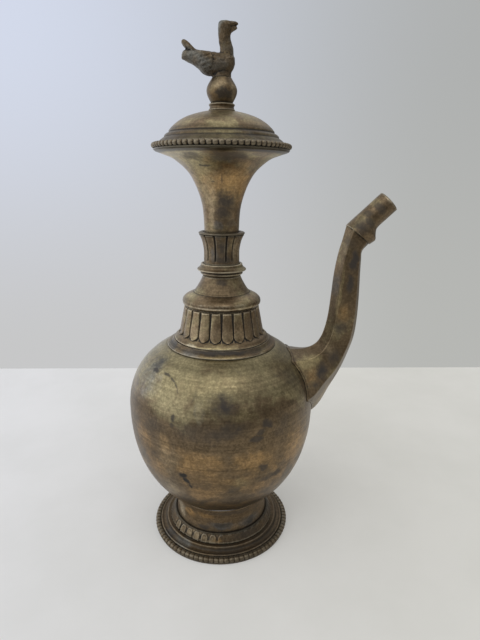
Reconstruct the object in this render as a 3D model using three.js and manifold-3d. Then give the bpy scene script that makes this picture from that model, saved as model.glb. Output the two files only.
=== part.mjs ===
// A brass wine pot: a bowl on a hollow foot, a moulded neck with a funnel mouth,
// a six-sided curved spout with a nozzle, and a lift-off lid with a bird finial.
// Lengths are in millimetres and +Z is up. The spout points along +X.

import * as THREE from 'three';
import { mergeVertices } from 'three/addons/utils/BufferGeometryUtils.js';
import Module from 'manifold-3d';

const wasm = await Module();
wasm.setup();

// Clearances shared by all pieces
const fitGap = 0.3;
const cutOverrun = 2;

// Foot
const footRadius = 36.4;
const footHeight = 24.3;
const footWall = 1.8;
const footRimWidth = 3.2;
const footRimThickness = 1.4;
const footTopRadius = 26.4;
const footWaistRadius = 24.3;
const footStepRadius = 30.6;

// Beaded wire ring on the foot, and petal band round the foot's lower neck
const footBeadSize = 2.6;
const footBeadProud = 0.7;
const footBeadLedge = 0.8;
const footBeadCount = 88;
const petalBandRadius = 28.8;
const petalBandHeight = 4.4;
const petalBandWall = 1.4;
const petalBandRelief = 0.5;
const petalBandCount = 38;
const footBandLevel = 5.5;

// Bowl
const bowlRadius = 47.5;
const bowlLowerHeight = 51.2;
const bowlUpperHeight = 31;
const bowlWall = 1.5;
const bowlSeamDrop = 3.5;
const bowlLapDepth = 3;
const bowlTopRadius = 28.2;
const bowlMouthRadius = 23.8;
const bowlRoundness = 2.2;

// Shoulder moulding, petal collar and cone
const shoulderRadius = 27.6;
const shoulderTopRadius = 24.2;
const shoulderHeight = 3.2;
const spigotDepth = 2.4;
const spigotWall = 1.2;
const collarFootRadius = 23.7;
const collarTopRadius = 18.5;
const collarBore = 19.6;
const collarTopBore = 15.6;
const collarHeight = 17.2;
const collarPetalCount = 22;
const collarPetalRelief = 0.9;
const coneRingRadius = 19.5;
const coneStepDepth = 0.4;
const coneStepRadius = 13.8;
const coneTopRadius = 9.7;
const coneHeight = 14.4;

// Knop, fluted sleeve and funnel
const neckBore = 5.8;
const knopRadius = 12.1;
const knopLipRadius = 10.4;
const knopHeight = 6;
const sleeveRadius = 8.65;
const sleeveRimRadius = 11.2;
const sleeveHeight = 15.2;
const sleevePanelCount = 12;
const sleeveGroove = 0.6;
const socketDepth = 1.2;
const funnelWaistRadius = 8.35;
const funnelRimRadius = 31;
const funnelHeight = 36.3;
const funnelWall = 1.3;
const funnelRimWidth = 2.4;

// Lid
const lidRadius = 31.2;
const lidStepRadius = 26;
const lidDomeRadius = 23.4;
const lidHeight = 17;
const lidWall = 1.4;
const lidLedge = 0.8;
const lidBeadSize = 2.4;
const lidBeadProud = 0.9;
const lidBeadCount = 76;
const lidBearingWidth = 3.6;
const lidDomeLevel = 9.1;
const bezelRadius = 20.6;
const bezelDepth = 3.2;
const bezelWall = 1.2;
const bossThickness = 2.2;

// Finial
const finialCollarRadius = 6;
const finialCollarHeight = 3.2;
const ballRadius = 7;
const ballHeight = 10.4;
const tangRadius = 1.6;
const tangHeadRadius = 3.2;
const tangHeadHeight = 1.2;
const tangGrip = 6;
const washerRadius = 4.6;
const washerThickness = 0.8;
const birdLength = 25.1;
const birdHeight = 22.6;
const birdWidth = 10.4;
const birdFootRadius = 4.2;
const birdFootHeight = 3.2;

// Spout and nozzle
const spoutStandoff = 22;
const spoutRise = 94;
const spoutDepth = 11.6;
const spoutRootDepth = 44;
const spoutWall = 1.3;
const saddleWidth = 1.3;
const saddleThickness = 0.9;
const pourHoleRadius = 6;
const pourHoleLength = 24;
const nozzleRadius = 5.5;
const nozzleBore = 4.4;
const nozzleLength = 22;
const nozzleSocketRadius = 7.5;
const nozzleAngle = 44;
const tenonInset = 1.6;
const tenonWall = 0.7;
const tenonDepth = 2;

// Facets round the turned and cast pieces
const wideSides = 32;
const neckSides = 24;
const smallSides = 16;
const birdBodySides = 12;
const birdLimbSides = 8;

// Steps of the arcs in the profiles
const lowerBowlSteps = 9;
const upperBowlSteps = 7;
const bowlLiningSteps = 6;
const bowlEnvelopeSteps = 12;
const funnelSteps = 11;
const ballSteps = 7;

// Levels of the stacked pieces above the table
const seatLevel = footHeight;
const widestLevel = seatLevel + bowlLowerHeight;
const seamLevel = widestLevel - bowlSeamDrop;
const shoulderLevel = widestLevel + bowlUpperHeight;
const collarLevel = shoulderLevel + shoulderHeight;
const coneLevel = collarLevel + collarHeight;
const knopLevel = coneLevel + coneHeight;
const sleeveLevel = knopLevel + knopHeight;
const funnelLevel = sleeveLevel + sleeveHeight;
const lidLevel = funnelLevel + funnelHeight;
const finialLevel = lidLevel + lidHeight;
const ballLevel = finialLevel + finialCollarHeight;
const birdLevel = ballLevel + ballHeight;

// Brass finishes: colour, roughness and metalness of each piece
const finishes = {
  foot: { color: 0x5c5140, roughness: 0.5, metalness: 0.9 },
  bowl: { color: 0x7d6b47, roughness: 0.4, metalness: 0.9 },
  neck: { color: 0x776a50, roughness: 0.42, metalness: 0.9 },
  ornament: { color: 0x6f6048, roughness: 0.48, metalness: 0.9 },
  funnel: { color: 0x86724c, roughness: 0.38, metalness: 0.9 },
  lid: { color: 0x6e6149, roughness: 0.42, metalness: 0.9 },
  finial: { color: 0x4f4538, roughness: 0.55, metalness: 0.85 },
  spout: { color: 0x6d6044, roughness: 0.42, metalness: 0.9 },
  hidden: { color: 0x8a7a52, roughness: 0.6, metalness: 0.8 },
};

// Closed geometry made of corner positions and triangles, turned so that its faces point out
function closedGeometry(positions, triangles) {
  let volume = 0;
  const corner = (index) => new THREE.Vector3().fromArray(positions, 3 * index);
  for (let i = 0; i < triangles.length; i += 3) {
    const [a, b, c] = [corner(triangles[i]), corner(triangles[i + 1]), corner(triangles[i + 2])];
    volume += a.dot(b.cross(c));
  }
  const index = volume < 0 ? triangles.slice().reverse() : triangles;
  const geometry = new THREE.BufferGeometry();
  geometry.setAttribute('position', new THREE.Float32BufferAttribute(positions, 3));
  geometry.setIndex(index);
  return geometry;
}

// The same geometry with shared corners joined and flat triangles dropped
function welded(source) {
  const bare = source.clone();
  bare.deleteAttribute('normal');
  bare.deleteAttribute('uv');
  const merged = mergeVertices(bare);
  const old = Array.from(merged.index.array);
  const triangles = [];
  for (let i = 0; i < old.length; i += 3) {
    const [a, b, c] = old.slice(i, i + 3);
    if (a !== b && b !== c && c !== a) {
      triangles.push(a, b, c);
    }
  }
  return closedGeometry(Array.from(merged.attributes.position.array), triangles);
}

function solidOf(geometry) {
  const closed = welded(geometry);
  return new wasm.Manifold(new wasm.Mesh({
    numProp: 3,
    vertProperties: new Float32Array(closed.attributes.position.array),
    triVerts: new Uint32Array(closed.index.array),
  }));
}

function geometryOf(solid) {
  const mesh = solid.getMesh();
  return closedGeometry(Array.from(mesh.vertProperties), Array.from(mesh.triVerts));
}

// A profile of [radius, height] points turned round the vessel's axis
function revolve(outline, sides) {
  const points = outline.map(([radius, height]) => new THREE.Vector2(radius, height));
  if (points[0].x > 0) {
    points.push(points[0].clone());
  }
  const geometry = new THREE.LatheGeometry(points, sides);
  geometry.rotateX(Math.PI / 2);
  return welded(geometry);
}

// A ring whose closed section changes from one angular step to the next
function changingRing(steps, sectionAt) {
  const positions = [];
  const triangles = [];
  let corners = 0;
  for (let step = 0; step < steps; step += 1) {
    const angle = (2 * Math.PI * step) / steps;
    const section = sectionAt(step);
    corners = section.length;
    for (const [radius, height] of section) {
      positions.push(radius * Math.cos(angle), radius * Math.sin(angle), height);
    }
  }
  for (let step = 0; step < steps; step += 1) {
    const next = (step + 1) % steps;
    for (let corner = 0; corner < corners; corner += 1) {
      const after = (corner + 1) % corners;
      const [a, b] = [step * corners + corner, step * corners + after];
      const [c, d] = [next * corners + after, next * corners + corner];
      triangles.push(a, b, c, a, c, d);
    }
  }
  return closedGeometry(positions, triangles);
}

// A skin stretched over rings of equally many points, closed by a fan at each end
function loft(rings) {
  const positions = [];
  const triangles = [];
  const corners = rings[0].length;
  rings.forEach((ring) => ring.forEach((point) => positions.push(point.x, point.y, point.z)));
  for (let row = 0; row < rings.length - 1; row += 1) {
    for (let corner = 0; corner < corners; corner += 1) {
      const after = (corner + 1) % corners;
      const [a, b] = [row * corners + corner, row * corners + after];
      triangles.push(a, b, b + corners, a, b + corners, a + corners);
    }
  }
  const fan = (row, forward) => {
    const middle = new THREE.Vector3();
    rings[row].forEach((point) => middle.addScaledVector(point, 1 / corners));
    const hub = positions.length / 3;
    positions.push(middle.x, middle.y, middle.z);
    for (let corner = 0; corner < corners; corner += 1) {
      const [a, b] = [row * corners + corner, row * corners + ((corner + 1) % corners)];
      triangles.push(...(forward ? [a, b, hub] : [b, a, hub]));
    }
  };
  fan(0, false);
  fan(rings.length - 1, true);
  return closedGeometry(positions, triangles);
}

// Points of a smooth curve through a few [radius, height] points
function smoothOutline(points, divisions) {
  const curve = new THREE.SplineCurve(points.map(([x, y]) => new THREE.Vector2(x, y)));
  return curve.getPoints(divisions).map((point) => [point.x, point.y]);
}

// Outline points given as shares of the way from one radius to another and of a height
function outlineBetween(shares, startRadius, endRadius, height) {
  return shares.map(([across, up]) => [
    THREE.MathUtils.lerp(startRadius, endRadius, across),
    up * height,
  ]);
}

const turn = (share) => share * 2 * Math.PI;

// Foot: bead ledge, ridge, low flange, seat of the petal band, and a waisted neck whose
// top edge follows the bowl's underside
const footFlangeShares = [
  [0, 1],
  [0.15, 0.93],
  [1, 1.1],
];
const footNeckShares = [
  [0.1, 0.18],
  [0, 0.42],
  [0.14, 0.7],
  [0.5, 0.9],
  [1, 1],
];

const footBeadSeat = footRadius + footBeadProud - footBeadSize - fitGap;
const footBandSeat = petalBandRadius - petalBandWall - petalBandHeight / 2;

function makeFoot() {
  const flangeLevel = footBeadLedge + footBeadSize;
  const ridge = outlineBetween(footFlangeShares, footBeadSeat, footStepRadius, flangeLevel);
  const neckLevel = footBandLevel + petalBandHeight;
  const neckHeight = footHeight - fitGap - neckLevel;
  const neck = outlineBetween(footNeckShares, footWaistRadius, footTopRadius, neckHeight);
  const boreRadius = footWaistRadius - footWall;
  const seatRadius = footTopRadius - footWall;
  return revolve([
    [footRadius - footRimWidth, 0],
    [footRadius, 0],
    [footRadius, footBeadLedge],
    [footBeadSeat, footBeadLedge],
    ...ridge,
    [footStepRadius, footBandLevel],
    [footBandSeat - fitGap, footBandLevel],
    [footBandSeat - fitGap, neckLevel],
    ...neck.map(([radius, height]) => [radius, neckLevel + height]),
    [seatRadius, widestLevel - bowlDepthAt(seatRadius) - fitGap],
    [boreRadius, neckLevel + neckHeight / 2],
    [boreRadius, neckLevel],
    [footBandSeat - footWall, footBandLevel - footWall / 2],
    [footStepRadius - footWall, footBandLevel - footWall * 2],
    [footRadius - footRimWidth, footRimThickness],
  ], wideSides);
}

// A wire ring pinched into beads: every second section is a groove
const beadCrownShares = [
  [0.8, 0],
  [1, 0.5],
  [0.6, 1],
];
const beadGrooveShares = [
  [0.5, 0],
  [0.66, 0.5],
  [0.4, 0.8],
];

function makeBeadRing(outerRadius, size, count) {
  const innerRadius = outerRadius - size;
  return changingRing(count * 2, (step) => {
    const shares = step % 2 === 0 ? beadCrownShares : beadGrooveShares;
    return [[innerRadius, 0], ...outlineBetween(shares, innerRadius, outerRadius, size)];
  });
}

// Band of arched petals: each crown stands proud and is taller than the grooves beside it
const petalGrooveShare = 0.7;
const petalFootShare = 0.25;

function makeFootPetalBand() {
  const topRadius = petalBandRadius - petalBandHeight / 2;
  return changingRing(petalBandCount * 2, (step) => {
    const inGroove = step % 2 === 1;
    const relief = inGroove ? petalBandRelief : 0;
    const crest = petalBandHeight * (inGroove ? petalGrooveShare : 1);
    return [
      [footBandSeat, 0],
      [petalBandRadius, 0],
      [petalBandRadius - relief, petalBandHeight * petalFootShare],
      [topRadius - relief, crest],
      [footBandSeat, crest],
    ];
  });
}

// Bowl: a rounded form, r = R (1 - t^n)^(1/n), with its own height below and above the widest level
function bowlHalfHeight(levelHeight, levelRadius) {
  const lost = (levelRadius / bowlRadius) ** bowlRoundness;
  return levelHeight / (1 - lost) ** (1 / bowlRoundness);
}

const bowlDrop = bowlHalfHeight(bowlLowerHeight, footTopRadius);
const bowlCrown = bowlHalfHeight(bowlUpperHeight, bowlTopRadius);

// Radius of the bowl at a height over its widest level, moved inwards by an inset
function bowlRadiusAt(rise, inset) {
  const reach = (rise < 0 ? bowlDrop : bowlCrown) - inset;
  const share = Math.min(Math.abs(rise) / reach, 1);
  return (bowlRadius - inset) * (1 - share ** bowlRoundness) ** (1 / bowlRoundness);
}

// Depth below the widest level at which the bowl's outside has a radius
function bowlDepthAt(radius) {
  const share = Math.min(radius / bowlRadius, 1);
  return bowlDrop * (1 - share ** bowlRoundness) ** (1 / bowlRoundness);
}

// Bowl points from one height to another, evenly spread by the angle seen from the widest level
function bowlArc(fromRise, toRise, inset, steps) {
  const points = [];
  const reach = (Math.min(fromRise, toRise) < -bowlSeamDrop ? bowlDrop : bowlCrown) - inset;
  const angleAt = (rise) => Math.asin(THREE.MathUtils.clamp(rise / reach, -1, 1));
  const [start, end] = [angleAt(fromRise), angleAt(toRise)];
  for (let step = 0; step <= steps; step += 1) {
    const rise = reach * Math.sin(THREE.MathUtils.lerp(start, end, step / steps));
    points.push([bowlRadiusAt(rise, inset), widestLevel + rise]);
  }
  return points;
}

function makeLowerBowl() {
  return revolve([
    [0, widestLevel - bowlDrop],
    ...bowlArc(-bowlDrop, -bowlSeamDrop, 0, lowerBowlSteps).slice(1),
    ...bowlArc(-bowlSeamDrop, bowlWall - bowlDrop, bowlWall, bowlLiningSteps).slice(0, -1),
    [0, widestLevel - bowlDrop + bowlWall],
  ], wideSides);
}

function makeUpperBowl() {
  const lapOuter = bowlRadiusAt(-bowlSeamDrop - bowlLapDepth, bowlWall) - fitGap;
  const lipUnder = bowlUpperHeight - bowlWall;
  return revolve([
    [lapOuter, seamLevel],
    ...bowlArc(-bowlSeamDrop, bowlUpperHeight, 0, upperBowlSteps),
    [bowlMouthRadius, shoulderLevel],
    [bowlMouthRadius, shoulderLevel - bowlWall],
    ...bowlArc(lipUnder, -bowlSeamDrop + bowlLapDepth, bowlWall, bowlLiningSteps),
    [lapOuter - bowlWall / 2, seamLevel],
    [lapOuter - bowlWall / 2, seamLevel - bowlLapDepth],
    [lapOuter, seamLevel - bowlLapDepth],
  ], wideSides);
}

// Everything inside the bowl's outer skin, moved outwards by a gap, to trim the spout's root
function bowlEnvelope(gap) {
  return solidOf(revolve([
    [0, widestLevel - bowlDrop - gap],
    ...bowlArc(-bowlDrop - gap, -bowlSeamDrop, -gap, bowlEnvelopeSteps).slice(1),
    ...bowlArc(-bowlSeamDrop, bowlCrown + gap, -gap, bowlEnvelopeSteps).slice(1, -1),
    [0, widestLevel + bowlCrown + gap],
  ], wideSides));
}

// Shoulder moulding: a flared band, a groove and a spigot inside the bowl's mouth
const shoulderShares = [
  [0, 0],
  [0, 0.2],
  [0.5, 0.55],
  [1, 0.78],
  [1, 1],
];

function makeShoulderRing() {
  const spigotRadius = bowlMouthRadius - fitGap;
  return revolve([
    [spigotRadius, 0],
    ...outlineBetween(shoulderShares, shoulderRadius, shoulderTopRadius, shoulderHeight),
    [collarBore, shoulderHeight],
    [collarBore, 0],
    [spigotRadius - spigotWall, -spigotDepth],
    [spigotRadius, -spigotDepth],
  ], wideSides);
}

// Petal collar: a sharp base edge, long round-ended petals with grooves between, and a plain top
const collarShares = [
  [0, 0],
  [0, 0.045],
  [0.5, 0.17],
  [0.74, 0.42],
  [1, 0.93],
  [1, 1],
];
const petalLiftShares = [0, 1, 1];
const petalStartShares = [0.24, 0.15, 0.15];
// A quarter turn brings a groove to the front
const collarTurnShare = 0.25;

function makePetalCollar() {
  const spigotRadius = collarBore - fitGap;
  const [base, edge, ...flank] =
    outlineBetween(collarShares, collarFootRadius, collarTopRadius, collarHeight);
  const top = flank.pop();
  return changingRing(collarPetalCount * petalStartShares.length, (step) => {
    const phase = step % petalStartShares.length;
    const lift = collarPetalRelief * petalLiftShares[phase];
    const start = petalStartShares[phase] * collarHeight;
    const petal = flank.map(([radius, height]) => [
      radius - collarPetalRelief / 2 + lift,
      Math.max(height, start),
    ]);
    return [
      [spigotRadius, 0],
      base,
      edge,
      [petal[0][0] - lift, start - collarPetalRelief / 3],
      ...petal,
      top,
      [collarTopBore, collarHeight],
      [spigotRadius - spigotWall, 0],
      [spigotRadius - spigotWall, -spigotDepth],
      [spigotRadius, -spigotDepth],
    ];
  }).rotateZ(turn(collarTurnShare));
}

// Neck cone: half-round ring, a small step and a concave rise, with a spigot in the collar
const coneRingShares = [
  [0.16, 0],
  [0, 0.08],
  [0.04, 0.19],
  [0.22, 0.3],
  [0.85, 0.44],
];
const coneRiseShares = [
  [0, 0],
  [0.38, 0.3],
  [0.75, 0.65],
  [1, 1],
];

function makeNeckCone() {
  const spigotRadius = collarTopBore - fitGap;
  const ring = outlineBetween(coneRingShares, coneRingRadius, coneStepRadius, coneHeight);
  const riseStart = ring.at(-1)[1];
  const rise = outlineBetween(coneRiseShares, coneStepRadius, coneTopRadius, coneHeight - riseStart);
  const knopSeatBore = neckBore + spigotWall + fitGap;
  return revolve([
    [spigotRadius, 0],
    ...ring,
    ...rise.map(([radius, height]) => [radius - coneStepDepth, riseStart + height]),
    [knopSeatBore, coneHeight],
    [knopSeatBore, coneHeight - spigotDepth - fitGap],
    [coneStepRadius - spigotWall * 2, riseStart],
    [spigotRadius - spigotWall, 0],
    [spigotRadius - spigotWall, -spigotDepth],
    [spigotRadius, -spigotDepth],
  ], neckSides);
}

// Knop: a thin disc between a lower lip and an upper step, with a socket for the sleeve
const knopLipShares = [
  [0, 0],
  [1, 0.14],
  [1, 0.34],
];
const knopDiscShares = [
  [1, 0.46],
  [1, 0.54],
];
const knopStepShare = 0.84;

function makeKnopRing() {
  const spigotRadius = neckBore + spigotWall;
  const socketRadius = sleeveRadius + fitGap;
  const stepRadius = socketRadius + spigotWall;
  return revolve([
    [spigotRadius, 0],
    ...outlineBetween(knopLipShares, coneTopRadius - coneStepDepth, knopLipRadius, knopHeight),
    ...outlineBetween(knopDiscShares, knopLipRadius, knopRadius, knopHeight),
    [stepRadius, knopHeight * knopStepShare],
    [stepRadius, knopHeight],
    [socketRadius, knopHeight],
    [socketRadius, knopHeight - socketDepth],
    [neckBore, knopHeight - socketDepth],
    [neckBore, -spigotDepth],
    [spigotRadius, -spigotDepth],
  ], neckSides);
}

// Fluted sleeve: twelve panels that flare upwards to a lip, under a rounded rim
const sleeveSeatShare = 0.05;
const sleevePanelShares = [
  [0.03, 0.4],
  [0.22, 0.62],
  [0.62, 0.86],
];
const sleeveLipShares = [
  [0.7, 0.88],
  [1, 0.92],
  [1, 0.96],
  [0.65, 1],
];
const sleeveGrooveShares = [1, 0, 0];
// The widest front panel faces a little to the left
const sleeveTurnShare = 0.021;

function makeFlutedSleeve() {
  const socketRadius = funnelWaistRadius + fitGap;
  const panel = outlineBetween(sleevePanelShares, sleeveRadius, sleeveRimRadius, sleeveHeight);
  const lip = outlineBetween(sleeveLipShares, sleeveRadius, sleeveRimRadius, sleeveHeight);
  return changingRing(sleevePanelCount * sleeveGrooveShares.length, (step) => {
    const groove = sleeveGroove * sleeveGrooveShares[step % sleeveGrooveShares.length];
    return [
      [neckBore, -socketDepth],
      [sleeveRadius - fitGap / 2, -socketDepth],
      [sleeveRadius, sleeveHeight * sleeveSeatShare],
      ...panel.map(([radius, height]) => [radius - groove, height]),
      ...lip,
      [socketRadius, sleeveHeight],
      [socketRadius, sleeveHeight - socketDepth],
      [neckBore, sleeveHeight - socketDepth],
    ];
  }).rotateZ(turn(sleeveTurnShare));
}

// Funnel: a narrow throat that flares to a flat rim, standing in the sleeve's socket
const funnelShares = [
  [0, 0],
  [0.02, 0.17],
  [0.082, 0.42],
  [0.196, 0.62],
  [0.35, 0.77],
  [0.512, 0.862],
  [0.81, 0.95],
  [1, 1],
];

function makeFunnel() {
  const points = outlineBetween(funnelShares, funnelWaistRadius, funnelRimRadius, funnelHeight);
  const outside = smoothOutline(points, funnelSteps);
  const inside = points.slice(0, -1).map(([radius, height], row) => {
    const [above, below] = [points[row + 1], points[Math.max(row - 1, 0)]];
    const slope = new THREE.Vector2(above[0] - below[0], above[1] - below[1]).normalize();
    return [radius - funnelWall * slope.y, height + funnelWall * slope.x];
  });
  const mouth = [funnelRimRadius - funnelRimWidth, funnelHeight];
  return revolve([
    [funnelWaistRadius - funnelWall, -socketDepth],
    [funnelWaistRadius, -socketDepth],
    ...outside,
    mouth,
    ...inside.filter(([radius]) => radius < mouth[0] - funnelWall).reverse(),
  ], neckSides);
}

// Lid: ledge for the ribbed ring, two steps and a low dome that ends in a flat boss
const lidStepShares = [
  [1, 0],
  [0.32, 0.38],
  [0, 0.54],
  [0, 0.68],
  [-0.45, 0.92],
];
const lidDomeShares = [
  [1, 0],
  [0.96, 0.17],
  [0.85, 0.43],
  [0.66, 0.69],
  [0.46, 0.88],
  [0.27, 0.985],
];
const lidHollowShares = [
  [1, 0],
  [0.62, 0.5],
  [0.2, 0.83],
];

const lidBeadSeat = lidRadius + lidBeadProud - lidBeadSize - fitGap;
const bezelSeatLevel = lidDomeLevel - lidWall;

function makeLidCap() {
  const rimTop = lidLedge + lidBeadSize;
  const steps = outlineBetween(lidStepShares, lidStepRadius, lidBeadSeat, lidDomeLevel - rimTop);
  const domeHeight = lidHeight - lidDomeLevel;
  const dome = lidDomeShares.map(([across, up]) => [
    across * lidDomeRadius,
    lidDomeLevel + up * domeHeight,
  ]);
  const bossLevel = lidHeight - bossThickness;
  const recessRadius = bezelRadius + fitGap;
  const ledgeRadius = bezelRadius - bezelWall * 2;
  const ceiling = dome.filter(([radius]) => radius < ledgeRadius).reverse();
  const hollowEdge = lidRadius - lidBearingWidth;
  const hollow = outlineBetween(lidHollowShares, recessRadius, hollowEdge, bezelSeatLevel);
  return revolve([
    ...hollow,
    [lidRadius, 0],
    [lidRadius, lidLedge],
    [lidBeadSeat, lidLedge],
    ...steps.map(([radius, height]) => [radius, rimTop + height]),
    ...dome,
    [finialCollarRadius, lidHeight],
    [tangRadius + fitGap, lidHeight],
    [tangRadius + fitGap, bossLevel],
    [washerRadius + fitGap, bossLevel],
    ...ceiling.map(([radius, height]) => [radius, height - lidWall]),
    [ledgeRadius, bezelSeatLevel],
    [recessRadius, bezelSeatLevel],
    [recessRadius, hollow.at(-1)[1]],
  ], wideSides);
}

// Bezel: a tube let into the lid's underside that hangs in the funnel's mouth
function makeLidBezel() {
  const length = bezelSeatLevel + bezelDepth;
  return revolve([
    [bezelRadius - bezelWall, 0],
    [bezelRadius, 0],
    [bezelRadius, length],
    [bezelRadius - bezelWall, length],
  ], neckSides);
}

// Finial: waisted collar, ball with flat ends, pin and washer
const finialCollarShares = [
  [1, 0],
  [1, 0.22],
  [0.84, 0.4],
  [0.84, 0.58],
  [0.98, 0.74],
  [0.98, 0.88],
  [0.86, 1],
];

function makeFinialCollar() {
  const hole = tangRadius + fitGap;
  return revolve([
    [hole, 0],
    ...finialCollarShares.map(([radius, height]) => [
      radius * finialCollarRadius,
      height * finialCollarHeight,
    ]),
    [hole, finialCollarHeight],
  ], smallSides);
}

function makeFinialBall() {
  const hole = tangRadius + fitGap;
  const halfHeight = ballHeight / 2;
  const fullAngle = Math.asin(Math.min(halfHeight / ballRadius, 1));
  const arc = [];
  for (let step = 0; step <= ballSteps; step += 1) {
    const angle = THREE.MathUtils.lerp(-fullAngle, fullAngle, step / ballSteps);
    arc.push([ballRadius * Math.cos(angle), halfHeight + ballRadius * Math.sin(angle)]);
  }
  return revolve([[hole, 0], ...arc, [hole, ballHeight]], smallSides);
}

const washerLevel = finialLevel - bossThickness - washerThickness;

function makeTangWasher() {
  const hole = tangRadius + fitGap;
  return revolve([
    [hole, 0],
    [washerRadius, 0],
    [washerRadius, washerThickness],
    [hole, washerThickness],
  ], smallSides);
}

const tangHeadCrownShare = 0.7;

function makeFinialTang() {
  const length = birdLevel + tangGrip - washerLevel;
  return revolve([
    [0, -tangHeadHeight],
    [tangHeadRadius * tangHeadCrownShare, -tangHeadHeight],
    [tangHeadRadius, -tangHeadHeight / 2],
    [tangHeadRadius, 0],
    [tangRadius, 0],
    [tangRadius, length],
    [0, length],
  ], smallSides);
}

// Bird: lofts of round sections along its body, neck, head, beak and tail, joined into one casting.
// Places are shares of its length (forwards from the ball's axis), width and height.
function birdRing(place, across, thick, wide, sides) {
  const [x, z] = [place[0] * birdLength, place[1] * birdHeight];
  const direction = new THREE.Vector2(across[0], across[1]).normalize();
  const ring = [];
  for (let side = 0; side < sides; side += 1) {
    const angle = turn(side / sides);
    const inPlane = thick * birdHeight * Math.cos(angle);
    ring.push(new THREE.Vector3(
      x + inPlane * direction.x,
      wide * birdWidth * Math.sin(angle),
      z + inPlane * direction.y,
    ));
  }
  return ring;
}

const birdLimb = (rows, sides) => solidOf(loft(rows.map(
  ([place, across, thick, wide]) => birdRing(place, across, thick, wide, sides),
)));

const upright = [0, 1];
const level = [-1, 0];
const birdBodyShares = [
  [[-0.7, 0.36], upright, 0.045, 0.15],
  [[-0.66, 0.385], upright, 0.09, 0.24],
  [[-0.55, 0.365], upright, 0.122, 0.34],
  [[-0.43, 0.325], upright, 0.162, 0.42],
  [[-0.33, 0.27], upright, 0.208, 0.46],
  [[-0.2, 0.245], upright, 0.22, 0.5],
  [[-0.04, 0.23], upright, 0.215, 0.5],
  [[0.1, 0.245], upright, 0.22, 0.44],
  [[0.19, 0.27], upright, 0.14, 0.3],
  [[0.23, 0.3], upright, 0.06, 0.15],
];
const birdNeckShares = [
  [[0.055, 0.24], level, 0.165, 0.33],
  [[0.085, 0.487], level, 0.136, 0.27],
  [[0.06, 0.611], level, 0.128, 0.24],
  [[0.042, 0.73], level, 0.122, 0.23],
  [[0.054, 0.86], level, 0.144, 0.28],
  [[0.06, 0.95], level, 0.142, 0.26],
  [[0.06, 0.99], level, 0.11, 0.17],
];
const birdBeakShares = [
  [[0.06, 0.9], upright, 0.09, 0.24],
  [[0.16, 0.925], upright, 0.065, 0.2],
  [[0.235, 0.945], upright, 0.04, 0.14],
  [[0.27, 0.942], upright, 0.024, 0.09],
  [[0.287, 0.938], upright, 0.008, 0.03],
];
const birdJawShares = [
  [[0.08, 0.86], upright, 0.095, 0.2],
  [[0.16, 0.85], upright, 0.066, 0.17],
  [[0.235, 0.87], upright, 0.038, 0.11],
  [[0.27, 0.868], upright, 0.01, 0.04],
];
const birdTailShares = [
  [[-0.46, 0.4], [-1, -1], 0.085, 0.22],
  [[-0.54, 0.487], [-1, -0.9], 0.068, 0.22],
  [[-0.6, 0.558], [-1, -0.85], 0.067, 0.2],
  [[-0.66, 0.62], [-1, -0.8], 0.055, 0.16],
  [[-0.687, 0.655], [-1, -0.8], 0.028, 0.08],
];
const birdWingShares = [
  [[-0.15, 0.3], upright, 0.06, 0.06],
  [[-0.19, 0.3], upright, 0.145, 0.12],
  [[-0.33, 0.32], upright, 0.13, 0.12],
  [[-0.47, 0.36], upright, 0.09, 0.1],
  [[-0.6, 0.39], upright, 0.03, 0.05],
];

const wingSpreadShares = [0.43, 0.45, 0.42, 0.33, 0.24];

function birdWing(side) {
  const rings = birdWingShares.map(([place, across, thick, wide], row) => {
    const ring = birdRing(place, across, thick, wide, birdLimbSides);
    ring.forEach((point) => point.setY(point.y + side * wingSpreadShares[row] * birdWidth));
    return ring;
  });
  return solidOf(loft(rings));
}

// A short upright post between two heights on the ball's axis
function post(radius, bottom, top) {
  const geometry = new THREE.CylinderGeometry(radius, radius, top - bottom, smallSides);
  geometry.rotateX(Math.PI / 2).translate(0, 0, (bottom + top) / 2);
  return solidOf(geometry);
}

function makeBird() {
  const casting = [
    birdLimb(birdBodyShares, birdBodySides),
    birdLimb(birdNeckShares, birdBodySides),
    birdLimb(birdBeakShares, birdLimbSides),
    birdLimb(birdJawShares, birdLimbSides),
    birdLimb(birdTailShares, birdLimbSides),
    birdWing(1),
    birdWing(-1),
  ].reduce((whole, limb) => whole.add(limb), post(birdFootRadius, 0, birdFootHeight));
  const table = new THREE.BoxGeometry(birdLength * 2, birdLength * 2, birdHeight);
  table.translate(0, 0, -birdHeight / 2);
  const socket = post(tangRadius + fitGap, -cutOverrun, tangGrip + fitGap);
  return geometryOf(casting.subtract(solidOf(table)).subtract(socket));
}

// Spout: rings of six corners. Each row gives the upper and the lower corner as
// [share of the standoff from the bowl's widest radius, share of the rise over the seam],
// then the depths and the places along the ring of the two ridges on each side.
// A depth share of 0 is the tube's own depth and 1 is the depth of the root.
const spoutRowShares = [
  [[-0.86, 0.32], [-0.6, -0.13], 0.5, 1.1, 0.08, 0.5],
  [[-0.56, 0.324], [0.1, -0.04], 0.4, 0.87, 0.08, 0.56],
  [[-0.22, 0.328], [0.46, 0.105], 0.2, 0.42, 0.13, 0.64],
  [[0.02, 0.352], [0.68, 0.205], 0.08, 0.18, 0.17, 0.72],
  [[0.155, 0.39], [0.84, 0.305], 0.02, 0.06, 0.19, 0.77],
  [[0.245, 0.45], [0.955, 0.4], 0, 0.01, 0.2, 0.79],
  [[0.305, 0.53], [0.995, 0.505], 0, 0, 0.2, 0.8],
  [[0.34, 0.63], [1, 0.62], 0, 0, 0.2, 0.8],
  [[0.375, 0.745], [0.985, 0.745], 0, 0, 0.2, 0.8],
  [[0.44, 0.85], [0.98, 0.82], 0, 0, 0.2, 0.8],
  [[0.523, 0.93], [0.986, 0.866], 0, 0, 0.2, 0.8],
  [[0.586, 0.999], [1.114, 0.903], 0, 0, 0.2, 0.8],
];
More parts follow.
